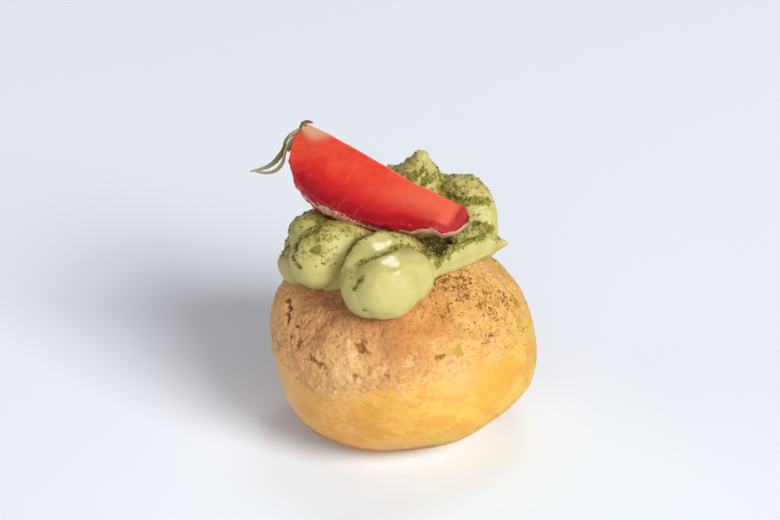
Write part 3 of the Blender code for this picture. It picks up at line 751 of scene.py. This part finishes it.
def berry_at(along, share, angle):
    """Points of the berry in its own frame."""
    radius = berry_radius(along)
    x = along * BERRY_LENGTH + 0.3 * MM * fade((along - 0.9) / 0.1)
    x = x + np.where(along < 0.3, BERRY_PIT * np.maximum(0, 1 - radius / BERRY_PIT_RADIUS) ** 2, 0)
    bow = BERRY_BOW * np.sin(math.pi * np.clip(x / BERRY_LENGTH, 0, 1) ** BERRY_BOW_SKEW)
    y = radius * share * np.sin(angle)
    lift = 1.75 * MM * np.clip((along - 0.55) / 0.45, 0, 1) ** 1.6
    lift = lift * (1 - share * fade((along - 0.84) / 0.1))
    lift = lift - 1.5 * MM * (1 - share) * fade((along - 0.95) / 0.06)
    return np.stack(np.broadcast_arrays(x, y, bow + lift - radius * share * np.cos(angle)), -1)


def strawberry():
    share, angle, skin = berry_loop()
    along = 0.5 - 0.5 * np.cos(math.pi * np.arange(BERRY_RINGS + 1) / BERRY_RINGS)
    along = np.clip(along, 0.0008, 0.9995)
    grid = berry_at(along[:, None], share[None, :], angle[None, :])
    for _ in range(3):
        grid = 0.5 * grid + 0.25 * (np.roll(grid, 1, 1) + np.roll(grid, -1, 1))
    points = grid.reshape(-1, 3)
    on_skin = np.tile(skin, len(along))
    inside = BERRY_ARC / 2 - np.tile(np.abs(angle), len(along))
    rim = on_skin * np.clip(1 - inside / RIM_WIDTH, 0, 1)
    dimple = np.zeros(len(points))
    for a, b in seed_places():
        dimple = np.maximum(dimple, on_skin * near(points, berry_at(a, 1, b) / MM, 0.75))
    relief = 0.1 * on_skin * waves(points, 4, 60) - 0.32 * dimple
    relief += fade(2 * rim) * (0.14 * waves(points, 1, 63) + 0.10 * waves(points, 0.5, 64))
    relief += (1 - on_skin) * (0.18 * waves(points, 4.2, 61) + 0.03 * waves(points, 1.1, 62))
    mesh = loft(in_part(points).reshape(grid.shape))
    push(mesh, relief)
    store(mesh, along=np.repeat(along, len(share)), radial=np.tile(share, len(along)))
    store(mesh, skin=on_skin, rim=rim, dimple=dimple)
    return add_piece("strawberry_wedge_cut", mesh)


def strawberry_seeds():
    shape = bmesh.new()
    for a, b in seed_places():
        outward = Vector((0, math.sin(b), -math.cos(b)))
        lean = outward.to_track_quat("Z", "X").to_matrix().to_4x4()
        size = Matrix.Diagonal((0.62 * MM, 0.40 * MM, 0.26 * MM, 1))
        place = Vector(berry_at(a, 1, b)) - outward * (0.26 * MM)
        put = berry_frame() @ Matrix.Translation(place) @ lean @ size
        bmesh.ops.create_icosphere(shape, subdivisions=2, radius=1.0, matrix=put)
    return add_piece("strawberry_wedge_seeds", mesh_from(shape, "seeds"))


# ---- calyx ----

# How each sepal is coloured along its length, as (green, tan, dark) at its root, middle and tip
SEPAL_TONES = {
    "blade": ((0.15, 0.5, 0.1), (1, 0, 0.15), (0.3, 0.3, 0)),
    "strand": ((0.3, 0.6, 0.3), (0, 1, 0), (0.45, 0.3, 0)),
    "short": ((0, 1, 0.3), (0, 1, 0.5), (0, 0.8, 0.6)),
    "crown": ((0.1, 0.4, 0.9), (0.1, 0.3, 1), (0.1, 0.6, 0.8)),
}
SEPAL_WIDTH = {"blade": 0.82, "strand": 0.85, "short": 1.1, "crown": 0.9}
SEPAL_POINTS = 9


def sepal(name, seed):
    """A thin wavy leaf along a line, folded at its middle: mesh with its tones."""
    stations = catmull(SEPALS[name], 8) * MM
    rows = len(stations)
    sides = np.linspace(-1, 1, SEPAL_POINTS)
    rings = []
    for i, (x, y, z, half_width) in enumerate(stations):
        half_width *= SEPAL_WIDTH[name]
        before, after = stations[max(i - 1, 0)][:3], stations[min(i + 1, rows - 1)][:3]
        along = Vector(after - before).normalized()
        normal = Vector((0.2, -0.85, 0.5))
        normal = (normal - along * normal.dot(along)).normalized()
        across = along.cross(normal)
        twist = 0.5 * noise.noise(Vector((0.3 * i, seed, 0)))
        front, back = [], []
        for side in sides:
            wave = 0.25 * noise.noise(Vector((0.45 * i, side * 1.6, seed + 3)))
            edge = 1 + 0.3 * noise.noise(Vector((0.8 * i, side, seed + 7)))
            lift = 0.45 * (1 - abs(side)) + wave + twist * side
            place = Vector((x, y, z)) + across * (half_width * side * edge) + normal * (half_width * lift)
            thick = 0.05 * MM + 0.05 * MM * (1 - abs(side))
            front.append(place + normal * thick)
            back.append(place - normal * thick)
        rings.append(front + back[::-1])
    rings = np.array(rings) + np.array(berry_frame() @ Vector((BERRY_PIT, 0, 0)))
    mesh = loft(rings)
    place = np.repeat(np.linspace(0, 2, rows), 2 * SEPAL_POINTS)
    root, middle, tip = (np.array(t) for t in SEPAL_TONES[name])
    first, second = np.clip(place, 0, 1)[:, None], np.clip(place - 1, 0, 1)[:, None]
    tones = root + (middle - root) * fade(first) + (tip - middle) * fade(second)
    return get_points(mesh), [tuple(p.vertices) for p in mesh.polygons], tones


def hub():
    """The knob that the sepals grow from: points, faces and tones."""
    ball = sphere_mesh(5)
    points = get_points(ball)
    points *= 1 + 0.22 * waves(points * MM, 0.55, 90)[:, None]
    pit = near(points * MM, (-0.6, -0.75, 0.1), 0.35)
    points *= 1 - 0.35 * pit[:, None]
    dark = np.clip(pit * 1.2 + fade((points[:, 2] - 0.2) / 0.5) * 0.8, 0, 1)
    place = points * np.array(HUB_SIZE) + np.array(HUB_PLACE + Vector((BERRY_PIT, 0, 0)))
    tones = np.stack([np.full(len(dark), 0.25), np.full(len(dark), 0.5), dark], 1)
    return in_part(place), [tuple(p.vertices) for p in ball.polygons], tones


def strawberry_calyx():
    made = [sepal(name, 4.0 * i) for i, name in enumerate(SEPALS)] + [hub()]
    faces, start = [], 0
    for points, corners, _ in made:
        faces += [tuple(v + start for v in face) for face in corners]
        start += len(points)
    mesh = new_mesh("calyx", np.concatenate([points for points, _, _ in made]), faces)
    green, tan, dark = np.concatenate([tones for _, _, tones in made]).T
    store(mesh, green=green, tan=tan, dark=dark)
    return add_piece("strawberry_calyx_dried", mesh)


# ---- powder grains ----

CREAM_GRAINS = 8500
BUN_GRAINS = 2000
GRAIN_SHAPES = 24


def surface_draws(piece, count, seed, weigh):
    """Random places on a piece, more where the weight is high: (points, normals)."""
    mesh = piece.data
    mesh.calc_loop_triangles()
    corners = np.zeros(len(mesh.loop_triangles) * 3, np.int32)
    mesh.loop_triangles.foreach_get("vertices", corners)
    corners = corners.reshape(-1, 3)
    points, normals = get_points(mesh), get_normals(mesh)
    a, b, c = (points[corners[:, i]] for i in range(3))
    area = 0.5 * np.linalg.norm(np.cross(b - a, c - a), axis=1)
    chance = area * weigh(corners, (a + b + c) / 3)
    draw = np.random.default_rng(seed)
    picked = draw.choice(len(corners), count, p=chance / chance.sum())
    u, v = draw.random(count), draw.random(count)
    flip = u + v > 1
    u, v = np.where(flip, 1 - u, u)[:, None], np.where(flip, 1 - v, v)[:, None]
    places = a[picked] + u * (b[picked] - a[picked]) + v * (c[picked] - a[picked])
    return places, normals[corners[picked, 0]]


def stored_values(piece, name):
    values = np.zeros(len(piece.data.vertices), np.float32)
    piece.data.attributes[name].data.foreach_get("value", values)
    return values


def grains(name, places, normals, sizes, seed, sink=0.25):
    """One mesh of small irregular grains that lie on a surface."""
    ball = sphere_mesh(1)
    base = get_points(ball)
    faces = np.array([p.vertices[:] for p in ball.polygons])
    draw = np.random.default_rng(seed)
    count = len(places)
    shapes = base[None] * (1 + draw.uniform(-0.35, 0.35, (GRAIN_SHAPES, len(base), 1)))
    shapes = shapes * draw.uniform(0.6, 1.2, (GRAIN_SHAPES, 1, 3))
    turns = draw.normal(size=(count, 4))
    turns /= np.linalg.norm(turns, axis=1)[:, None]
    local = shapes[draw.integers(0, GRAIN_SHAPES, count)] * sizes[:, None, None]
    axis = turns[:, None, 1:]
    swept = np.cross(axis, local)
    turned = local + 2 * (turns[:, :1, None] * swept + np.cross(axis, swept))
    lifted = places + normals * (sizes * (1 - 2 * sink))[:, None]
    offsets = (np.arange(count) * len(base))[:, None, None]
    every_face = (faces[None] + offsets).reshape(-1, 3).tolist()
    mesh = new_mesh(name, (turned + lifted[:, None]).reshape(-1, 3), every_face)
    store(mesh, tone=np.repeat(draw.random(count), len(base)))
    return add_piece(name, mesh)


def cream_grains(cream):
    powder = stored_values(cream, "powder")

    def weigh(corners, at):
        clumps = fade((waves(at, 1.1, 77) + 0.05) / 0.35)
        share = powder[corners].mean(1)
        open_ground = 1 - 0.6 * fade((share - 0.96) / 0.08)
        return np.clip(share - 0.08, 0, 1) ** 1.3 * (0.1 + clumps) * open_ground

    places, normals = surface_draws(cream, CREAM_GRAINS, 5, weigh)
    sizes = (0.055 + 0.15 * np.random.default_rng(6).random(CREAM_GRAINS) ** 2) * MM
    return grains("piped_cream_powder", places, normals, sizes, 8)


def bun_grains(bun):
    stain = stored_values(bun, "stain")

    def weigh(corners, at):
        clumps = fade((waves(at, 0.9, 78) - 0.12) / 0.2)
        return stain[corners].mean(1) * (0.04 + clumps)

    places, normals = surface_draws(bun, BUN_GRAINS, 9, weigh)
    sizes = (0.06 + 0.14 * np.random.default_rng(10).random(BUN_GRAINS) ** 2) * MM
    return grains("choux_bun_powder", places, normals, sizes, 11, 0.35)


# ---- materials ----


def tint(red, green, blue):
    """A colour of 0 to 255 as the linear numbers that the shader takes."""
    made = []
    for value in (red / 255, green / 255, blue / 255):
        made.append(value / 12.92 if value <= 0.04045 else ((value + 0.055) / 1.055) ** 2.4)
    return (*made, 1.0)


class Wire:
    """A node's output, which can be added, taken off, multiplied and faded like a number."""

    def __init__(self, material, socket):
        self.material = material
        self.socket = socket

    def __add__(self, other):
        return self.material.math("ADD", self, other)

    def __sub__(self, other):
        return self.material.math("SUBTRACT", self, other)

    def __rsub__(self, other):
        return self.material.math("SUBTRACT", other, self)

    def __mul__(self, other):
        return self.material.math("MULTIPLY", self, other)

    def band(self, low, high, start=0.0, end=1.0):
        """A smooth step from start, at low, to end, at high."""
        inputs = {"Value": self, "From Min": low, "From Max": high, "To Min": start, "To Max": end}
        return self.material.node("ShaderNodeMapRange", inputs, interpolation_type="SMOOTHSTEP")


class Material:
    """A Principled material with short calls for its nodes."""

    def __init__(self, name, **settings):
        self.made = bpy.data.materials.new(name)
        self.made.use_nodes = True
        self.tree = self.made.node_tree
        self.shader = self.tree.nodes["Principled BSDF"]
        for key, value in settings.items():
            self.shader.inputs[key.replace("_", " ").title().replace("Ior", "IOR")].default_value = value
        self.place = self.node("ShaderNodeTexCoord", output="Object")

    def node(self, kind, inputs=(), output=0, **settings):
        made = self.tree.nodes.new(kind)
        for key, value in settings.items():
            setattr(made, key, value)
        for key, value in dict(inputs).items():
            if isinstance(value, Wire):
                self.tree.links.new(value.socket, made.inputs[key])
            else:
                made.inputs[key].default_value = value
        return Wire(self, made.outputs[output])

    def stored(self, name):
        return self.node("ShaderNodeAttribute", output="Fac", attribute_name=name)

    def noise(self, size, detail=2.0, rough=0.5, stretch=None):
        """Noise with one lump to each size in mm."""
        place = self.place
        if stretch:
            place = self.node("ShaderNodeMapping", {"Vector": place, "Scale": stretch})
        inputs = {"Vector": place, "Scale": 1 / (size * MM), "Detail": detail, "Roughness": rough}
        return self.node("ShaderNodeTexNoise", inputs, "Fac")

    def math(self, operation, first, second=0.0):
        return self.node("ShaderNodeMath", {0: first, 1: second}, operation=operation)

    def mix(self, share, first, second):
        return self.node("ShaderNodeMix", {0: share, 6: first, 7: second}, 2, data_type="RGBA")

    def paint(self, base, *coats):
        """A base of (red, green, blue) or a wire, under coats of (share, red, green, blue)."""
        colour = base if isinstance(base, Wire) else tint(*base)
        for share, *coat in coats:
            colour = self.mix(share, colour, tint(*coat))
        return colour

    def bump(self, height, distance, strength=1.0):
        inputs = {"Height": height, "Distance": distance * MM, "Strength": strength}
        return self.node("ShaderNodeBump", inputs)

    def join(self, key, wire):
        self.tree.links.new(wire.socket, self.shader.inputs[key])


def cover(share, pattern, soft=0.04):
    """Patches of a pattern that grow with a share from none at 0 to all at 1."""
    return (pattern + (share - 0.5) * 0.5).band(0.5 - soft, 0.5 + soft)


def bun_body(m, drawn, streaks):
    """The colour of the bun below the crust."""
    return m.paint(
        (219, 160, 68),
        (m.stored("right"), 209, 168, 62),
        (drawn.band(0.46, 0.58, 0.0, 0.8), 211, 144, 50),
        (drawn.band(0.46, 0.38, 0.0, 0.45), 216, 172, 98),
        (cover(m.stored("gold") * 0.95, m.noise(2.2, 4, 0.6), 0.12), 207, 155, 44),
        (streaks.band(0.56, 0.66, 0.0, 0.4), 226, 180, 98),
        (streaks.band(0.44, 0.34, 0.0, 0.3), 200, 136, 48),
        (m.stored("amber") * 0.55, 194, 136, 44),
        (m.stored("under") * 0.8, 150, 78, 36),
        (m.stored("foot"), 238, 198, 156),
    )


def bun_crust(m, orange):
    """The colour of the crust."""
    mottle, blotch, toast = m.noise(3.0, 4, 0.6), m.noise(1.5, 4, 0.65), m.stored("toast")
    return m.paint(
        (200, 150, 92),
        (m.stored("right"), 213, 166, 84),
        (mottle.band(0.42, 0.60, 0.0, 0.45), 190, 134, 68),
        (blotch.band(0.52, 0.64, 0.0, 0.4), 178, 118, 62),
        (blotch.band(0.48, 0.36, 0.0, 0.5), 226, 178, 112),
        (orange * 0.8, 188, 120, 54),
        (toast * 0.92, 171, 113, 70),
        (blotch.band(0.5, 0.64) * toast * 0.5, 136, 84, 48),
    )


def bun_material():
    m = Material(
        "choux_bun", roughness=0.7, subsurface_weight=0.15, subsurface_scale=0.7 * MM,
        subsurface_radius=(1.0, 0.5, 0.2))
    crust, orange = m.stored("crust"), m.stored("orange")
    fine, tiny = m.noise(0.7, 3, 0.6), m.noise(0.38, 2, 0.6)
    drawn, streaks = m.noise(4.2, 5, 0.6, (0.8, 0.8, 1.3)), m.noise(1.0, 4, 0.65, (0.75, 0.75, 1.4))
    wisps = m.math("ABSOLUTE", m.noise(2.2, 4, 0.7, (0.8, 0.8, 1.6)) - 0.5)
    flakes = cover(m.stored("flake") * 0.85, m.noise(1.1, 3, 0.6), 0.12)
    stains = cover(m.stored("stain") * 0.48, m.noise(0.5, 3, 0.65), 0.03)
    m.join("Base Color", m.paint(
        m.mix(crust, bun_body(m, drawn, streaks), bun_crust(m, orange)),
        # Painted light along the bun's left edge.
        (m.stored("edge") * 0.8, 240, 184, 118),
        (wisps.band(0.034, 0.006) * m.stored("wisp") * 0.45, 238, 202, 138),
        (m.stored("pale") * fine.band(0.35, 0.6, 0.4, 0.9), 212, 168, 108),
        (fine.band(0.54, 0.64) * crust * 0.45, 160, 100, 42),
        # Pale dots on the tops of the fine bumps: partly pale crumbs, partly painted highlights.
        (tiny.band(0.58, 0.68) * (crust * (1 - orange * 0.8) * 0.5 + 0.1), 232, 190, 138),
        (flakes * 0.48, 232, 190, 136),
        (cover(m.stored("green"), fine, 0.08) * 0.85, 172, 138, 36),
        (stains * 0.8, 136, 78, 14),
        (m.stored("crack") * 0.9, 126, 68, 12),
    ))
    m.join("Roughness", crust.band(0.0, 1.0, 0.55, 0.78))
    height = (fine + tiny * 0.6) * (crust * 0.85 + 0.15) + streaks * 0.3
    m.join("Normal", m.bump(height, 0.2, 0.8))
    return m.made


def cream_material():
    m = Material(
        "piped_cream", subsurface_weight=0.3, subsurface_scale=0.8 * MM,
        subsurface_radius=(1.0, 0.9, 0.4), coat_roughness=0.27, coat_ior=1.7)
    powder, wet = m.stored("powder"), m.stored("wet")
    fine, tiny = m.noise(0.75, 3, 0.6), m.noise(0.36, 2, 0.6)
    patches = m.noise(1.5, 3, 0.6) * 0.5 + fine * 0.5
    damp = cover(powder, patches, 0.07)
    dry = cover(powder * 0.74, patches * 0.35 + tiny * 0.65)
    m.join("Base Color", m.paint(
        (180, 169, 98),
        (m.noise(4.0, 3).band(0.35, 0.65), 190, 179, 109),
        (damp * 0.6, 158, 149, 56),
        (dry * 0.75, 114, 107, 30),
        (powder.band(0.88, 1.0, 0.0, 0.6), 92, 86, 22),
        # The darkest tone, past full powder, lies in the hollows, where it is partly painted shade, and in
        # the thickest creases.
        (powder.band(0.98, 1.08), 90, 80, 28),
    ))
    m.join("Coat Weight", wet * (1 - damp))
    m.join("Roughness", (0.5 - wet * 0.3) * (1 - damp) + damp * 0.85)
    height = tiny * damp + m.noise(1.2, 3) * (0.25 - wet * 0.2)
    m.join("Normal", m.bump(height, 0.15, 0.8))
    return m.made


def powder_material(name, dark, light):
    m = Material(name, roughness=0.95)
    specks = m.noise(0.1, 2).band(0.4, 0.6, 0.0, 0.3)
    m.join("Base Color", m.paint(dark, (m.stored("tone"), *light), (specks, 60, 44, 14)))
    return m.made


def berry_flesh(m, along, radial, wander):
    """The colour of the cut face: pink in the middle, red at the skin, pale at the root; its deepest crimson
    is partly painted shade, and a painted highlight runs along the ridge.
    """
    deep = radial + wander
    inward = along.band(0.05, 0.2)
    margin = m.math("MINIMUM", (1 - radial) * 4.0, (1 - along) * 14.0) + wander * 2.2
    fibres = m.node("ShaderNodeCombineXYZ", {"X": along * 34.0, "Y": radial * 3.0})
    lines = m.node("ShaderNodeTexNoise", {"Vector": fibres, "Scale": 1.0, "Detail": 3.0}, "Fac")
    root = (along + radial * 0.2 + wander * 0.2).band(0.21, 0.1)
    return m.paint(
        (201, 54, 38),
        (m.noise(1.6, 3, 0.6, (0.4, 1.0, 1.0)).band(0.3, 0.7), 208, 67, 46),
        (along.band(0.45, 0.8), 211, 89, 63),
        (deep.band(0.30, 0.72) * along.band(1.0, 0.7) * inward, 186, 28, 30),
        # Deepest crimson at the skin on the root half: partly the flesh's own colour, partly painted shade
        # where the face curves under.
        (deep.band(0.62, 0.97) * along.band(0.95, 0.75) * inward, 134, 4, 22),
        (deep.band(0.78, 0.97) * along.band(0.72, 0.88), 166, 12, 20),
        (margin.band(1.2, 0.55) * along.band(0.6, 0.75), 156, 12, 20),
        (along.band(0.978, 0.99), 134, 8, 16),
        (lines.band(0.52, 0.75) * 0.16, 232, 110, 80),
        (lines.band(0.48, 0.3) * 0.16, 180, 30, 24),
        (along.band(0.14, 0.06) * radial.band(0.75, 0.5, 0.0, 0.5), 172, 74, 52),
        (root * radial.band(0.46, 0.14), 196, 144, 112),
        # Painted highlight: a pale line along the ridge, where the two cut faces meet.
        (radial.band(0.03, 0.0) * 0.6, 226, 130, 110),
    )


def berry_material():
    m = Material(
        "strawberry_wedge", specular_ior_level=0.22, subsurface_weight=0.15, subsurface_scale=1.2 * MM,
        subsurface_radius=(1.0, 0.15, 0.08))
    along, radial, skin, rim = m.stored("along"), m.stored("radial"), m.stored("skin"), m.stored("rim")
    wander, fuzz = (m.noise(4.0, 3) - 0.5) * 0.25, (m.noise(0.9, 3, 0.6) - 0.5) * 0.9
    edge = rim + along.band(0.5, 0.12, 0.0, 0.5)
    rind = m.paint(
        (160, 18, 18),
        (m.noise(1.3, 3, 0.6).band(0.4, 0.6), 188, 36, 28),
        (m.stored("dimple").band(0.3, 0.9), 140, 14, 14),
        # Crimson skin by the cut edge: the face's colour carried over, made lighter as painted light against
        # the shade where the skin turns down.
        ((edge + wander * 1.2).band(0.55, 0.8), 168, 14, 34),
        (along.band(0.26, 0.16), 196, 40, 38),
    )
    low = rim + fuzz + along.band(0.6, 0.8, 0.0, 0.4)
    high = edge + fuzz + along.band(0.42, 0.70) * along.band(0.90, 0.78, 0.05, 0.45)
    dotted = m.noise(0.6, 3, 0.65) + along.band(0.55, 0.75, 0.0, 0.08)
    frost = low.band(0.15, 0.4) * high.band(0.98, 0.86) * dotted.band(0.36, 0.52)
    frosted = m.mix(frost, rind, m.paint((224, 184, 156), (along.band(0.5, 0.75), 214, 166, 134)))
    m.join("Base Color", m.mix(skin, berry_flesh(m, along, radial, wander), frosted))
    m.join("Roughness", skin * (frost * 0.3 + 0.24) + along.band(0.8, 0.95, 0.0, 0.2) + 0.36)
    m.join("Normal", m.bump(m.noise(0.9, 3, 0.6, (0.5, 1.0, 1.0)), 0.08, 0.6))
    return m.made


def seed_material():
    m = Material("strawberry_seed", roughness=0.45)
    m.join("Base Color", m.paint((206, 160, 70), (m.noise(0.6).band(0.4, 0.6), 232, 200, 110)))
    return m.made


def calyx_material():
    m = Material("strawberry_calyx", roughness=0.75, subsurface_weight=0.1, subsurface_scale=0.3 * MM)
    vein = m.noise(0.5, 3, 0.6)
    m.join("Base Color", m.paint(
        (156, 156, 124),
        (m.noise(1.4, 2).band(0.4, 0.6), 178, 174, 146),
        (m.stored("tan"), 188, 164, 122),
        (m.stored("green"), 102, 118, 52),
        (m.stored("dark"), 104, 62, 30),
        (vein.band(0.5, 0.75, 0.0, 0.6), 96, 84, 52),
    ))
    m.join("Normal", m.bump(vein, 0.08))
    return m.made


# Centre of the painted light on the floor, in metres
FLOOR_PAINTED_LIGHT = (0.01, -0.05, 0.0)


def floor_material():
    """A floor with a pool of painted light close in front of the bun, which offsets the bun's shade and warm
    glow there.
    """
    m = Material("floor", roughness=0.9)
    inputs = {0: m.place, 1: FLOOR_PAINTED_LIGHT}
    # Painted light: the floor turns lighter and bluer within about 30 to 90 mm of that centre.
    ahead = m.node("ShaderNodeVectorMath", inputs, "Value", operation="DISTANCE").band(0.09, 0.03)
    coats = (m.noise(300.0, 2), 237, 240, 250), (ahead, 239, 246, 254)
    m.join("Base Color", m.paint((235, 239, 249), *coats))
    return m.made


# ---- stage, lights, camera ----

# Each light as (azimuth and elevation in degrees, distance and size in metres, share, colour):
# the share is how bright it alone makes a white floor
LIGHTS = {
    "key": (-48, 32, 3.2, 1.76, 0.603, (1.0, 1.015, 0.99)),
    "front": (-90, 27, 1.6, 1.6, 0.164, (0.94, 0.95, 0.98)),
    "back": (107, 26, 1.6, 1.6, 0.085, (1.0, 0.95, 0.92)),
    "high_back": (71, 63, 1.6, 0.52, 0.12, (1.0, 1.0, 1.0)),
    "left": (197, 19, 1.6, 1.6, 0.052, (1.0, 0.96, 0.96)),
}
LIGHTS_CENTRE = Vector((0, 0, 0.03))
WORLD_LIGHT = 0.085
WORLD_COLOUR = (0.93, 0.96, 1.0, 1)
FLOOR_DROP = 0.05 * MM
CAMERA_LENS = 100
CAMERA_TILT = math.radians(27)
CAMERA_AIM = Vector((-2.56, 14.4, 28.3)) * MM
CAMERA_DISTANCE = 426.8 * MM


def stage():
    shape = bmesh.new()
    bmesh.ops.create_grid(shape, x_segments=8, y_segments=8, size=2.5)
    floor = add_piece("floor", mesh_from(shape, "floor"))
    floor.location.z = -FLOOR_DROP
    floor.data.materials.append(floor_material())
    world = bpy.data.worlds.new("studio")
    world.use_nodes = True
    world.node_tree.nodes["Background"].inputs[0].default_value = WORLD_COLOUR
    world.node_tree.nodes["Background"].inputs[1].default_value = WORLD_LIGHT
    bpy.context.scene.world = world
    bpy.context.scene.view_settings.view_transform = "Standard"


def aimed(name, data, place, way, axis):
    """A light or camera at a place, with one of its axes turned along a direction."""
    made = bpy.data.objects.new(name, data)
    made.location = place
    made.rotation_mode = "QUATERNION"
    made.rotation_quaternion = way.to_track_quat(axis, "Y")
    bpy.context.scene.collection.objects.link(made)
    return made


def lights():
    for name, (azimuth, elevation, distance, size, share, colour) in LIGHTS.items():
        azimuth, elevation = math.radians(azimuth), math.radians(elevation)
        flat = math.cos(elevation)
        way = Vector((flat * math.cos(azimuth), flat * math.sin(azimuth), math.sin(elevation)))
        data = bpy.data.lights.new(name, "AREA")
        data.shape = "DISK"
        data.size = size
        data.energy = share * (math.pi * distance) ** 2 / way.z
        data.color = colour
        aimed(name, data, way * distance + LIGHTS_CENTRE, way, "Z")


def camera():
    ahead = Vector((0, math.cos(CAMERA_TILT), -math.sin(CAMERA_TILT)))
    data = bpy.data.cameras.new("camera")
    data.lens = CAMERA_LENS
    data.sensor_width = 36
    data.clip_start = 0.01
    place = CAMERA_AIM - ahead * CAMERA_DISTANCE
    bpy.context.scene.camera = aimed("camera", data, place, ahead, "-Z")


# ---- the whole ----


def dress(piece, material, slot, *nodes):
    piece.data.materials.clear()
    piece.data.materials.append(material)
    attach(piece, "root")
    if nodes:
        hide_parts(*nodes)


def main():
    camera()
    stage()
    lights()
    bun = choux_bun()
    berry = strawberry()
    cream = piped_cream(berry)
    dress(cream_grains(cream), powder_material("powder", (92, 82, 18), (186, 174, 76)), "piped_cream")
    dress(bun_grains(bun), powder_material("baked_powder", (110, 64, 10), (168, 112, 22)), "piped_cream")
    dress(bun, bun_material(), "choux_bun", "choux_bun")
    dress(cream, cream_material(), "piped_cream", "piped_cream")
    dress(berry, berry_material(), "strawberry_wedge", "strawberry_wedge")
    dress(strawberry_seeds(), seed_material(), "strawberry_wedge")
    dress(strawberry_calyx(), calyx_material(), "strawberry_calyx", "strawberry_calyx")


main()
